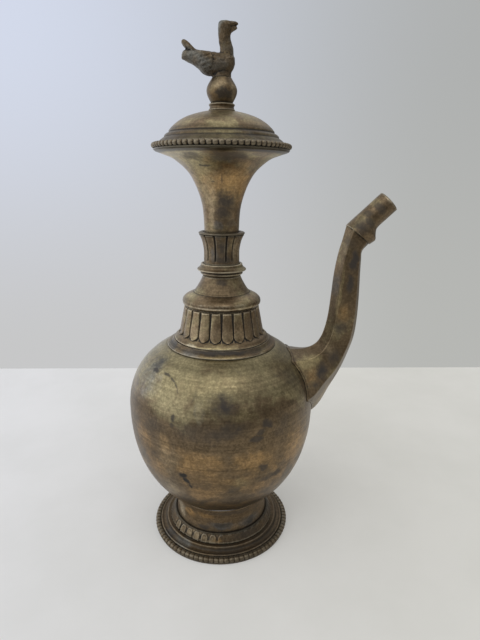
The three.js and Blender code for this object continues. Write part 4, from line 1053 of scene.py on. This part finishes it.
# funnel: narrow throat that flares to a flat rim
funnel = dict(sides=192, grain=0.6, pathSteps=8)
funnelBase = topOf("fluted_sleeve")
funnelOut = smoothPath([(8.35, 0), (8.6, 6), (9.15, 11.3), (10.0, 15.2), (11.2, 18.8), (12.75, 22.4),
                        (14.85, 26.1), (17.9, 29.5), (22.6, 33.0), (27.0, 34.75), (30.8, 36.0)],
                       funnel["pathSteps"])
funnelIn = smoothPath([(7.05, -1.2), (7.3, 6), (7.85, 11.3), (8.7, 15.4), (9.95, 19.1), (11.6, 22.9),
                       (13.8, 26.9), (17.0, 30.6), (22.0, 34.3), (28.4, 36.3)], funnel["pathSteps"])
funnelOutline = rounded([(7.05, -1.2), (8.35, -1.2)] + funnelOut + [(31.0, 36.3, 0.2)]
                        + funnelIn[:0:-1])
funnelPiece = turned("flaredFunnel", evenly(funnelOutline, funnel["grain"]), funnel["sides"],
                     funnelBase)
pointOutwards(funnelPiece)
moveEach(funnelPiece, dented)
finishPiece(funnelPiece, finishes["funnel"], "vessel", ["funnel"], reach=1.4)

# lid: ledge for the ribbed ring, two steps and a low dome with a flat boss
lid = dict(sides=224, grain=0.42)
lidOutline = rounded([
    (20.9, 3.6), (24.0, 2.2, 1.0), (27.6, 0, 0.2), (31.2, 0, 0.2), (31.2, 0.8, 0.1), (29.4, 0.8),
    (29.4, 3.2, 0.1), (28.9, 3.35, 0.2), (27.6, 4.6, 0.8), (26.2, 5.5, 0.2), (26.05, 6.3, 0.3),
    (25.2, 7.1, 0.5), (24.0, 7.5, 0.4), (24.0, 8.5, 0.2), (23.5, 8.9, 0.25), (23.3, 9.3, 0.2),
    (22.6, 10.0, 0.8), (20.6, 11.8, 2.0), (17.3, 13.8, 2.0), (13.6, 15.2, 2.0), (9.6, 16.3, 1.8),
    (6.6, 16.85, 0.8), (5.9, 17.0), (1.9, 17.0), (1.9, 14.8), (4.9, 14.8), (8.5, 14.8),
    (12.5, 13.9), (17.8, 11.4), (18.2, 7.7), (20.9, 7.7),
])
lidPiece = turned("lidCap", evenly(lidOutline, lid["grain"]), lid["sides"], bottomOf("lid_cap"))
finishPiece(lidPiece, finishes["lid"], "lid", ["lid_cap"])

# ribbed ring round the lid
lidBeads = dict(count=76, size=2.4, groove=0.36, flank=0.8, arc=230, steps=8, arcPoints=14)
unit = sector("unit", beadSection(lidBeads, radiusOf("lid_bead_ring")), lidBeads["count"],
              lidBeads["steps"], bottomOf("lid_bead_ring"))
ribPiece = repeatRound("lidBeadRing", unit, lidBeads["count"], finishes["lidBeads"])
finishPiece(ribPiece, finishes["lidBeads"], "lid", ["lid_bead_ring"], reach=0.9)

# bezel under the lid
bezel = dict(inner=19.4, outer=20.6, height=10.8, edge=0.3, sides=128, grain=0.6)
bezelOutline = rounded([
    (bezel["inner"], 0, bezel["edge"]), (bezel["outer"], 0, bezel["edge"]),
    (bezel["outer"], bezel["height"]), (bezel["inner"], bezel["height"]),
])
bezelPiece = turned("lidBezel", evenly(bezelOutline, bezel["grain"]), bezel["sides"],
                    bottomOf("lid_bezel"))
finishPiece(bezelPiece, finishes["inside"], "lid", ["lid_bezel"])

# finial: ringed collar, ball and washer, with the pin through them
finial = dict(bore=1.9, sides=96, collarHeight=3.2, collarGrain=0.2, ballHeight=10.4, ballGrain=0.3,
              pathSteps=8, tangSides=48, tangGrain=0.5, washerSides=64, washerGrain=0.25)
ringsOutline = rounded([
    (finial["bore"], 0), (5.8, 0), (6.0, 0.3, 0.2), (5.95, 0.6, 0.25), (5.5, 0.95, 0.25),
    (5.4, 1.8, 0.4), (5.7, 2.3, 0.25), (5.9, 2.6, 0.2), (5.7, 2.95, 0.2),
    (5.2, finial["collarHeight"]), (finial["bore"], finial["collarHeight"]),
])
ringsPiece = turned("finialCollar", evenly(ringsOutline, finial["collarGrain"]), finial["sides"],
                    bottomOf("finial_collar"))
finishPiece(ringsPiece, finishes["finial"], "lid", ["finial_collar"], reach=0.8)
ballPath = smoothPath([(4.75, 0), (5.5, 1.2), (6.25, 2.6), (6.75, 3.9), (6.92, 5.1), (6.75, 6.3),
                       (6.2, 7.6), (5.4, 8.9), (4.6, 10.1), (4.5, finial["ballHeight"])],
                      finial["pathSteps"])
ballOutline = [(finial["bore"], 0)] + ballPath + [(finial["bore"], finial["ballHeight"])]
ballPiece = turned("finialBall", evenly(ballOutline, finial["ballGrain"]), finial["sides"],
                   bottomOf("finial_ball"))
pointOutwards(ballPiece)
moveEach(ballPiece, dented)
finishPiece(ballPiece, finishes["finial"], "lid", ["finial_ball"], reach=1.0)
tangOutline = rounded([(0, 0), (2.2, 0, 0.3), (3.2, 0.7, 0.4), (3.2, 1.2), (1.6, 1.2),
                       (1.6, 23.5, 0.3), (0, 23.8)], False)
tangPiece = turned("finialTang", evenly(tangOutline, finial["tangGrain"], False),
                   finial["tangSides"], bottomOf("finial_tang"), closed=False)
finishPiece(tangPiece, finishes["inside"], "lid", ["finial_tang"])
washerOutline = rounded([(finial["bore"], 0, 0.1), (4.6, 0, 0.2), (4.6, 0.8, 0.2),
                         (finial["bore"], 0.8, 0.1)])
washerPiece = turned("tangWasher", evenly(washerOutline, finial["washerGrain"]),
                     finial["washerSides"], bottomOf("tang_washer"))
finishPiece(washerPiece, finishes["inside"], "lid", ["tang_washer"])

# bird: lofted limbs melted into one casting, then chased
bird = dict(voxel=0.3, settleRounds=3, sides=20, steps=6, length=25.1, height=22.6, width=10.4,
            eyeRadius=0.62, eyePlace=(3.0, 2.3, 20.6))
post = dict(radius=4.2, topRadius=4.0, height=3.4, sides=48, grain=0.5)
birdBase = bottomOf("bird")


def limb(name, rows, sideways=0.0):
    # rows: place forwards and up, lean of the section, half thickness, half width and spread,
    # as shares of the bird's length, height and width
    rings = []
    for x, z, leanX, leanZ, thick, wide, out in smoothPath(rows, bird["steps"]):
        x, z, thick = x * bird["length"], z * bird["height"], thick * bird["height"]
        wide, out = wide * bird["width"], out * bird["width"]
        lean = Vector((leanX, 0, leanZ)).normalized()
        ring = []
        for i in range(bird["sides"]):
            angle = fullTurn * i / bird["sides"]
            ring.append(Vector((axisX + (x + thick * math.cos(angle) * lean.x) * mm,
                                (sideways * out + wide * math.sin(angle)) * mm,
                                (birdBase + z + thick * math.cos(angle) * lean.z) * mm)))
        rings.append(ring)
    return loft(name, rings)


bodyRows = [
    (-0.7, 0.36, 0, 1, 0.045, 0.15, 0), (-0.66, 0.385, 0, 1, 0.09, 0.24, 0),
    (-0.55, 0.365, 0, 1, 0.122, 0.34, 0), (-0.43, 0.325, 0, 1, 0.162, 0.42, 0),
    (-0.33, 0.27, 0, 1, 0.208, 0.46, 0), (-0.2, 0.245, 0, 1, 0.22, 0.5, 0),
    (-0.04, 0.23, 0, 1, 0.215, 0.5, 0), (0.1, 0.245, 0, 1, 0.22, 0.44, 0),
    (0.19, 0.27, 0, 1, 0.14, 0.3, 0), (0.23, 0.3, 0, 1, 0.06, 0.15, 0),
]
neckRows = [
    (0.055, 0.24, -1, 0, 0.165, 0.33, 0), (0.085, 0.487, -1, 0, 0.136, 0.27, 0),
    (0.06, 0.611, -1, 0, 0.128, 0.24, 0), (0.042, 0.73, -1, 0, 0.122, 0.23, 0),
    (0.054, 0.86, -1, 0, 0.144, 0.28, 0), (0.06, 0.95, -1, 0, 0.142, 0.26, 0),
    (0.06, 0.985, -1, 0, 0.11, 0.17, 0),
]
beakRows = [
    (0.06, 0.9, 0, 1, 0.09, 0.24, 0), (0.16, 0.925, 0, 1, 0.065, 0.2, 0),
    (0.235, 0.945, 0, 1, 0.04, 0.14, 0), (0.27, 0.942, 0, 1, 0.024, 0.09, 0),
    (0.285, 0.938, 0, 1, 0.008, 0.03, 0),
]
jawRows = [
    (0.08, 0.86, 0, 1, 0.095, 0.2, 0), (0.16, 0.85, 0, 1, 0.066, 0.17, 0),
    (0.235, 0.87, 0, 1, 0.038, 0.11, 0), (0.268, 0.868, 0, 1, 0.01, 0.04, 0),
]
tailRows = [
    (-0.46, 0.4, -1, -1, 0.085, 0.22, 0), (-0.54, 0.487, -1, -0.9, 0.068, 0.22, 0),
    (-0.6, 0.558, -1, -0.85, 0.067, 0.2, 0), (-0.66, 0.62, -1, -0.8, 0.055, 0.16, 0),
    (-0.685, 0.653, -1, -0.8, 0.028, 0.08, 0),
]
wingRows = [
    (-0.15, 0.28, 0, 1, 0.06, 0.06, 0.43), (-0.19, 0.28, 0, 1, 0.13, 0.11, 0.44),
    (-0.33, 0.31, 0, 1, 0.12, 0.11, 0.41), (-0.47, 0.35, 0, 1, 0.085, 0.09, 0.32),
    (-0.6, 0.38, 0, 1, 0.03, 0.05, 0.23),
]
birdPiece = limb("castBird", bodyRows)
postOutline = evenly([(0, 0), (post["radius"], 0), (post["topRadius"], post["height"]),
                      (0, post["height"])], post["grain"], False)
others = [limb("neck", neckRows), limb("beak", beakRows), limb("jaw", jawRows), limb("tail", tailRows),
          limb("wing", wingRows, 1.0), limb("wing", wingRows, -1.0),
          turned("post", postOutline, post["sides"], birdBase, closed=False)]
eyeX, eyeY, eyeZ = bird["eyePlace"]
for side in (1, -1):
    place = (axisX + eyeX * mm, side * eyeY * mm, (birdBase + eyeZ) * mm)
    others.append(basicForm("eye", bmesh.ops.create_icosphere, place, subdivisions=2,
                            radius=bird["eyeRadius"] * mm))
work = bmesh.new()
for part in [birdPiece] + others:
    pointOutwards(part)
    work.from_mesh(part.data)
work.to_mesh(birdPiece.data)
work.free()
for part in others:
    bpy.data.objects.remove(part)
melt = birdPiece.modifiers.new("melt", "REMESH")
melt.mode = "VOXEL"
melt.voxel_size = bird["voxel"] * mm
plainMesh(birdPiece)
settle = birdPiece.modifiers.new("settle", "SMOOTH")
settle.factor = 0.5
settle.iterations = bird["settleRounds"]
plainMesh(birdPiece)

# depth of the feather cuts, their closeness on wings and tail, how the wing's cuts slope, and the
# depth and closeness of the casting's coarse and fine grain
chasing = dict(depth=0.07, wingCuts=3.6, wingSlope=0.28, tailCuts=5.5, coarse=0.14, coarseGrain=520,
               fine=0.1, fineGrain=1100, inwards=0.1)


def chased(point, normal):
    # feather cuts on the wings and tail, and the grain of a rough casting
    x = (point.x - axisX) / mm
    y = abs(point.y) / mm
    z = point.z / mm - birdBase
    onWing = smoothStep(3.3, 4.2, y) * smoothStep(-3.6, -4.4, x) * smoothStep(-17, -14, x)
    onTail = smoothStep(10.5, 12, z) * smoothStep(-11, -12.5, x)
    onBird = smoothStep(0.0, 0.8, z)
    quills = onWing * math.cos((z - chasing["wingSlope"] * x) * chasing["wingCuts"])
    quills += onTail * math.cos(point.y / mm * chasing["tailCuts"])
    rough = chasing["coarse"] * noise.noise(point * chasing["coarseGrain"])
    rough += chasing["fine"] * noise.noise(point * chasing["fineGrain"])
    return normal * (chasing["depth"] * quills + rough - chasing["inwards"]) * onBird * mm


moveEach(birdPiece, chased)
finishPiece(birdPiece, finishes["bird"], "lid", ["bird"], reach=0.9)

# spout: a six-sided curved tube whose root lies on the bowl
spout = dict(standoff=22.0, rise=94.0, depth=11.6, rootDepth=44.0, wall=1.3, endWall=1.7,
             saddleWidth=0.9, saddleThickness=0.35, fitGap=0.1, bowlGap=0.08, steps=9, cornerRound=0.5,
             cornerSteps=4, edgeShare=0.4, perSide=7)
# the bore starts before the root, stops short of the end, and runs out of it with a thicker wall
spoutBore = dict(before=-3, shortRows=6, beyond=2)
# shares of each row: upper corner, lower corner, depths and places of the two ridges
spoutRows = [
    (-0.86, 0.32, -0.6, -0.13, 0.5, 1.1, 0.08, 0.5),
    (-0.56, 0.324, 0.1, -0.04, 0.4, 0.87, 0.08, 0.56),
    (-0.22, 0.328, 0.46, 0.105, 0.2, 0.42, 0.13, 0.64),
    (0.02, 0.352, 0.68, 0.205, 0.08, 0.18, 0.17, 0.72),
    (0.155, 0.39, 0.84, 0.305, 0.02, 0.06, 0.19, 0.77),
    (0.245, 0.45, 0.955, 0.4, 0, 0.01, 0.2, 0.79),
    (0.305, 0.53, 0.995, 0.505, 0, 0, 0.2, 0.8),
    (0.34, 0.63, 1, 0.62, 0, 0, 0.2, 0.8),
    (0.375, 0.745, 0.985, 0.745, 0, 0, 0.2, 0.8),
    (0.44, 0.85, 0.98, 0.82, 0, 0, 0.2, 0.8),
    (0.523, 0.93, 0.986, 0.866, 0, 0, 0.2, 0.8),
    (0.586, 0.999, 1.114, 0.903, 0, 0, 0.2, 0.8),
]


def spoutPoint(out, up):
    return Vector((bowl["radius"] + out * spout["standoff"], 0, seamLevel + up * spout["rise"]))


def spoutFrame(row):
    # a row's two corners, and the directions across and on along the spout
    upper, lower = spoutPoint(row[0], row[1]), spoutPoint(row[2], row[3])
    across = (lower - upper).normalized()
    return upper, lower, across, Vector((-across.z, 0, across.x))


def spoutRing(row, inset, advance=0.0):
    # six rounded corners and points along the sides between them
    upper, lower, across, forward = spoutFrame(row)
    upper += across * inset + forward * advance
    lower += -across * inset + forward * advance
    corner = []
    for share, deep in ((row[6], row[4]), (row[7], row[5])):
        half = (spout["depth"] + (spout["rootDepth"] - spout["depth"]) * deep) / 2 - inset
        corner.append((upper.lerp(lower, share), half))
    (high, highHalf), (low, lowHalf) = corner
    hexagon = [upper.copy(), high - Vector((0, highHalf, 0)), low - Vector((0, lowHalf, 0)),
               lower.copy(), low + Vector((0, lowHalf, 0)), high + Vector((0, highHalf, 0))]
    size, edgeShare = spout["cornerRound"], spout["edgeShare"]
    ring = []
    for i, here in enumerate(hexagon):
        there = hexagon[(i + 1) % 6]
        before, after = hexagon[i - 1] - here, there - here
        start = here + before.normalized() * min(size, before.length * edgeShare)
        end = here + after.normalized() * min(size, after.length * edgeShare)
        for step in range(spout["cornerSteps"] + 1):
            t = step / spout["cornerSteps"]
            ring.append((1 - t) ** 2 * start + 2 * t * (1 - t) * here + t ** 2 * end)
        back = here - there
        nextStart = there + back.normalized() * min(size, back.length * edgeShare)
        for step in range(1, spout["perSide"]):
            ring.append(end.lerp(nextStart, step / spout["perSide"]))
    return [Vector((axisX + p.x * mm, p.y * mm, p.z * mm)) for p in ring]


fineRows = smoothPath(spoutRows, spout["steps"])


def spoutSkin(name, inset):
    return loft(name, [spoutRing(row, inset) for row in fineRows])


def bowlForm(name, gap):
    # everything inside the bowl's outer skin, moved outwards by a gap
    outline = ([(0, widestLevel - bowlDrop - gap)]
               + bowlArc(-bowlDrop - gap, -bowl["seamDrop"], -gap, bowl["formSteps"])[1:]
               + bowlArc(-bowl["seamDrop"], bowlCrown + gap, -gap, bowl["formSteps"])[1:-1]
               + [(0, widestLevel + bowlCrown + gap)])
    return turned(name, outline, bowl["sides"], closed=False)


spoutPiece = spoutSkin("curvedSpout", 0)
saddle = spoutSkin("saddle", -spout["saddleWidth"])
cut(saddle, bowlForm("form", spout["saddleThickness"] + spout["fitGap"]), "INTERSECT")
cut(spoutPiece, saddle, "UNION")
bore = [spoutRing(spoutRows[0], spout["wall"], spoutBore["before"])]
bore += [spoutRing(row, spout["wall"]) for row in fineRows[:-spoutBore["shortRows"]]]
bore += [spoutRing(spoutRows[-1], spout["endWall"], way) for way in (0.0, spoutBore["beyond"])]
cut(spoutPiece, loft("bore", bore))
cut(spoutPiece, bowlForm("form", spout["bowlGap"]))
finishPiece(spoutPiece, finishes["spout"], "vessel", ["spout"], reach=1.3)

# hole through the bowl's wall behind the spout's root
hole = dict(radius=6, depth=24, segments=48)
rootUpper, rootLower, _, rootForward = spoutFrame(spoutRows[1])
holeMiddle = rootUpper.lerp(rootLower, 0.5)
holeTool = basicForm("hole", bmesh.ops.create_cone,
                     (axisX + holeMiddle.x * mm, 0, holeMiddle.z * mm), rootForward, cap_ends=True,
                     segments=hole["segments"], radius1=hole["radius"] * mm,
                     radius2=hole["radius"] * mm, depth=hole["depth"] * mm)
cut(upperPiece, holeTool)
finishPiece(upperPiece, finishes["bowl"], "vessel", ["upper_bowl"], reach=0)

# nozzle: a short tube at an angle, with a swollen socket and a lip under it
nozzle = dict(length=22.0, angle=44.0, radius=5.5, bore=4.5, socket=7.5, sides=72, steps=5,
              fitGap=0.06, boreFrom=-20, boreTo=40)
# shares: place along the length, and the way from the tube's radius to the socket's
nozzleRows = [(-0.3, 0.8), (0.0, 0.85), (0.12, 0.93), (0.19, 0.99), (0.236, 1.0), (0.27, 0.9),
              (0.31, 0.64), (0.36, 0.36), (0.42, 0.1), (0.52, 0.0), (0.75, 0.0), (1.0, 0.0)]
endUpper, _, _, endForward = spoutFrame(spoutRows[-1])
lean = math.radians(nozzle["angle"])
along = Vector((math.cos(lean), 0, math.sin(lean)))
down = Vector((math.sin(lean), 0, -math.cos(lean)))


def nozzleRing(place, radius, centre):
    ring = []
    for i in range(nozzle["sides"]):
        angle = fullTurn * i / nozzle["sides"]
        p = centre + along * place + down * radius * math.cos(angle)
        ring.append(Vector((axisX + p.x * mm, radius * math.sin(angle) * mm, p.z * mm)))
    return ring


rings = []
for share, swell in smoothPath(nozzleRows, nozzle["steps"]):
    radius = nozzle["radius"] + (nozzle["socket"] - nozzle["radius"]) * swell
    rings.append(nozzleRing(share * nozzle["length"], radius, endUpper + down * radius))
nozzlePiece = loft("pouringNozzle", rings)
# its root is cut flush with the spout's end by a block twice as long as the nozzle
blockMiddle = endUpper + endForward * (nozzle["fitGap"] - nozzle["length"])
blockTool = basicForm("block", bmesh.ops.create_cube,
                      (axisX + blockMiddle.x * mm, 0, blockMiddle.z * mm), endForward,
                      size=2 * nozzle["length"] * mm)
cut(nozzlePiece, blockTool)
middle = endUpper + down * nozzle["radius"]
boreTool = loft("bore", [nozzleRing(nozzle["boreFrom"], nozzle["bore"], middle),
                         nozzleRing(nozzle["boreTo"], nozzle["bore"], middle)])
cut(nozzlePiece, boreTool)
finishPiece(nozzlePiece, finishes["spout"], "vessel", ["nozzle"], reach=1.0)
print("all pieces made")

# stage: a pale table with its far edge, and a pale wall painted by the world
# pairs of colours go from the dark to the pale mottle, and from the left to the right; the left-to-right
# pair is painted window light, paler and bluer on the left
table = dict(near=-0.5, far=0.226, half=3.0, mottle=((0.50, 0.497, 0.487), (0.525, 0.521, 0.514)),
             mottleScale=14.0, paintedLight=((1.08, 1.085, 1.12), (0.96, 0.95, 0.905)),
             paintedLightFrom=-0.25, paintedLightTo=0.12, roughness=0.6, glow=0.46)
near, far, half = table["near"], table["far"], table["half"]
tableTop = meshFrom("tableTop", [(-half, near, 0), (half, near, 0), (half, far, 0), (-half, far, 0)],
                    [(0, 1, 2, 3)])


def tablePaint():
    paint = bpy.data.materials.new("tablePaint")
    paint.use_nodes = True
    tree = paint.node_tree
    tree.nodes.clear()
    place = addNode(tree, "ShaderNodeTexCoord").outputs["Object"]
    mottle = ramp(tree, cloud(tree, place, table["mottleScale"], 5.0, 0.6), 0.3, 0.7)
    shade = blend(tree, mottle, *table["mottle"])
    across = addNode(tree, "ShaderNodeSeparateXYZ", {0: place}).outputs["X"]
    # painted light: the table is paler and bluer towards the window on the left
    paintedLight = blend(tree, ramp(tree, across, table["paintedLightFrom"], table["paintedLightTo"]), *table["paintedLight"])
    shade = addNode(tree, "ShaderNodeVectorMath", {0: shade, 1: paintedLight}, operation="MULTIPLY").outputs[0]
    diffuse = addNode(tree, "ShaderNodeBsdfDiffuse", {"Color": shade, "Roughness": table["roughness"]})
    # a little light of its own keeps the shadows on the table as faint as under a wide window
    glow = addNode(tree, "ShaderNodeEmission", {"Color": shade, "Strength": table["glow"]})
    both = addNode(tree, "ShaderNodeAddShader", {0: diffuse.outputs[0], 1: glow.outputs[0]})
    addNode(tree, "ShaderNodeOutputMaterial", {"Surface": both.outputs[0]})
    return paint


tableTop.data.materials.append(tablePaint())

# room: the light is bright from the left and above, dim on the right, dark on the camera's side
room = dict(right=(0.28, 0.27, 0.25), left=(1.12, 1.16, 1.24), front=(0.12, 0.115, 0.11),
            frontShare=0.8, above=(0.74, 0.75, 0.76))
# the wall that is seen, from left to right at its foot and higher up; its fall from a pale, bluish upper
# left to a dimmer right is painted window light
wallLow = ((0.57, 0.572, 0.575), (0.47, 0.475, 0.455))
wallHigh = ((0.66, 0.71, 0.84), (0.425, 0.435, 0.43))


def softRoom():
    world = bpy.data.worlds.new("softRoom")
    world.use_nodes = True
    tree = world.node_tree
    tree.nodes.clear()
    way = addNode(tree, "ShaderNodeTexCoord").outputs["Generated"]
    parts = addNode(tree, "ShaderNodeSeparateXYZ", {0: way}).outputs
    leftness = ramp(tree, parts["X"], 0.6, -0.8)
    frontness = calc(tree, "MULTIPLY", ramp(tree, parts["Y"], -0.35, -0.9), room["frontShare"])
    light = blend(tree, leftness, room["right"], room["left"])
    light = blend(tree, frontness, light, room["front"])
    light = blend(tree, ramp(tree, parts["Z"], 0.1, 0.75), light, room["above"])
    # the seen wall is painted with the window's light: paler and bluer at the upper left, dimmer to the
    # right
    wallShade = blend(tree, ramp(tree, parts["Z"], -0.35, 0.3),
                      blend(tree, ramp(tree, parts["X"], -0.05, 0.42), *wallLow),
                      blend(tree, ramp(tree, parts["X"], -0.45, 0.48), *wallHigh))
    seen = addNode(tree, "ShaderNodeLightPath").outputs["Is Camera Ray"]
    shown = blend(tree, seen, light, wallShade)
    background = addNode(tree, "ShaderNodeBackground", {"Color": shown, "Strength": 1.0})
    addNode(tree, "ShaderNodeOutputWorld", {"Surface": background.outputs[0]})
    return world


scene.world = softRoom()


def softLamp(name, place, size, power, colour):
    # an oblong lamp that looks at the middle of the pot
    lamp = bpy.data.lights.new(name, "AREA")
    lamp.shape = "RECTANGLE"
    lamp.size, lamp.size_y = size
    lamp.energy = power
    lamp.color = colour
    holder = bpy.data.objects.new(name, lamp)
    holder.location = place
    holder.rotation_euler = (middleOfPot - Vector(place)).to_track_quat("-Z", "Y").to_euler()
    scene.collection.objects.link(holder)


middleOfPot = Vector((axisX, 0, 0.11))
softLamp("windowLamp", (-0.75, -0.25, 0.65), (1.5, 1.2), 3.5, (0.93, 0.97, 1.0))
softLamp("ceilingLamp", (0.05, -0.35, 0.95), (0.6, 0.4), 1.15, (1.0, 0.98, 0.95))
print("stage and lamps made")

# camera: at the height, tilt and turn from which the pot was seen; place in mm from its axis
view = dict(focalPixels=474.7, tall=640.0, sensor=36.0, pitch=16.33, yaw=2.31, roll=0.71,
            place=(0.0, -231.6, 185.9))
cameraData = bpy.data.cameras.new("camera")
cameraData.sensor_width = view["sensor"]
cameraData.lens = view["sensor"] * view["focalPixels"] / view["tall"]
camera = bpy.data.objects.new("camera", cameraData)
scene.collection.objects.link(camera)
scene.camera = camera
pitch, yaw, roll = [math.radians(view[key]) for key in ("pitch", "yaw", "roll")]
forward = Vector((math.sin(yaw) * math.cos(pitch), math.cos(yaw) * math.cos(pitch), -math.sin(pitch)))
right = Vector((math.cos(yaw), -math.sin(yaw), 0))
up = right.cross(forward)
rolledRight = math.cos(roll) * right + math.sin(roll) * up
rolledUp = -math.sin(roll) * right + math.cos(roll) * up
placed = Matrix((rolledRight, rolledUp, -forward)).transposed().to_4x4()
placed.translation = Vector(view["place"]) * mm + Vector((axisX, 0, 0))
camera.matrix_world = placed

scene.view_settings.view_transform = "Standard"
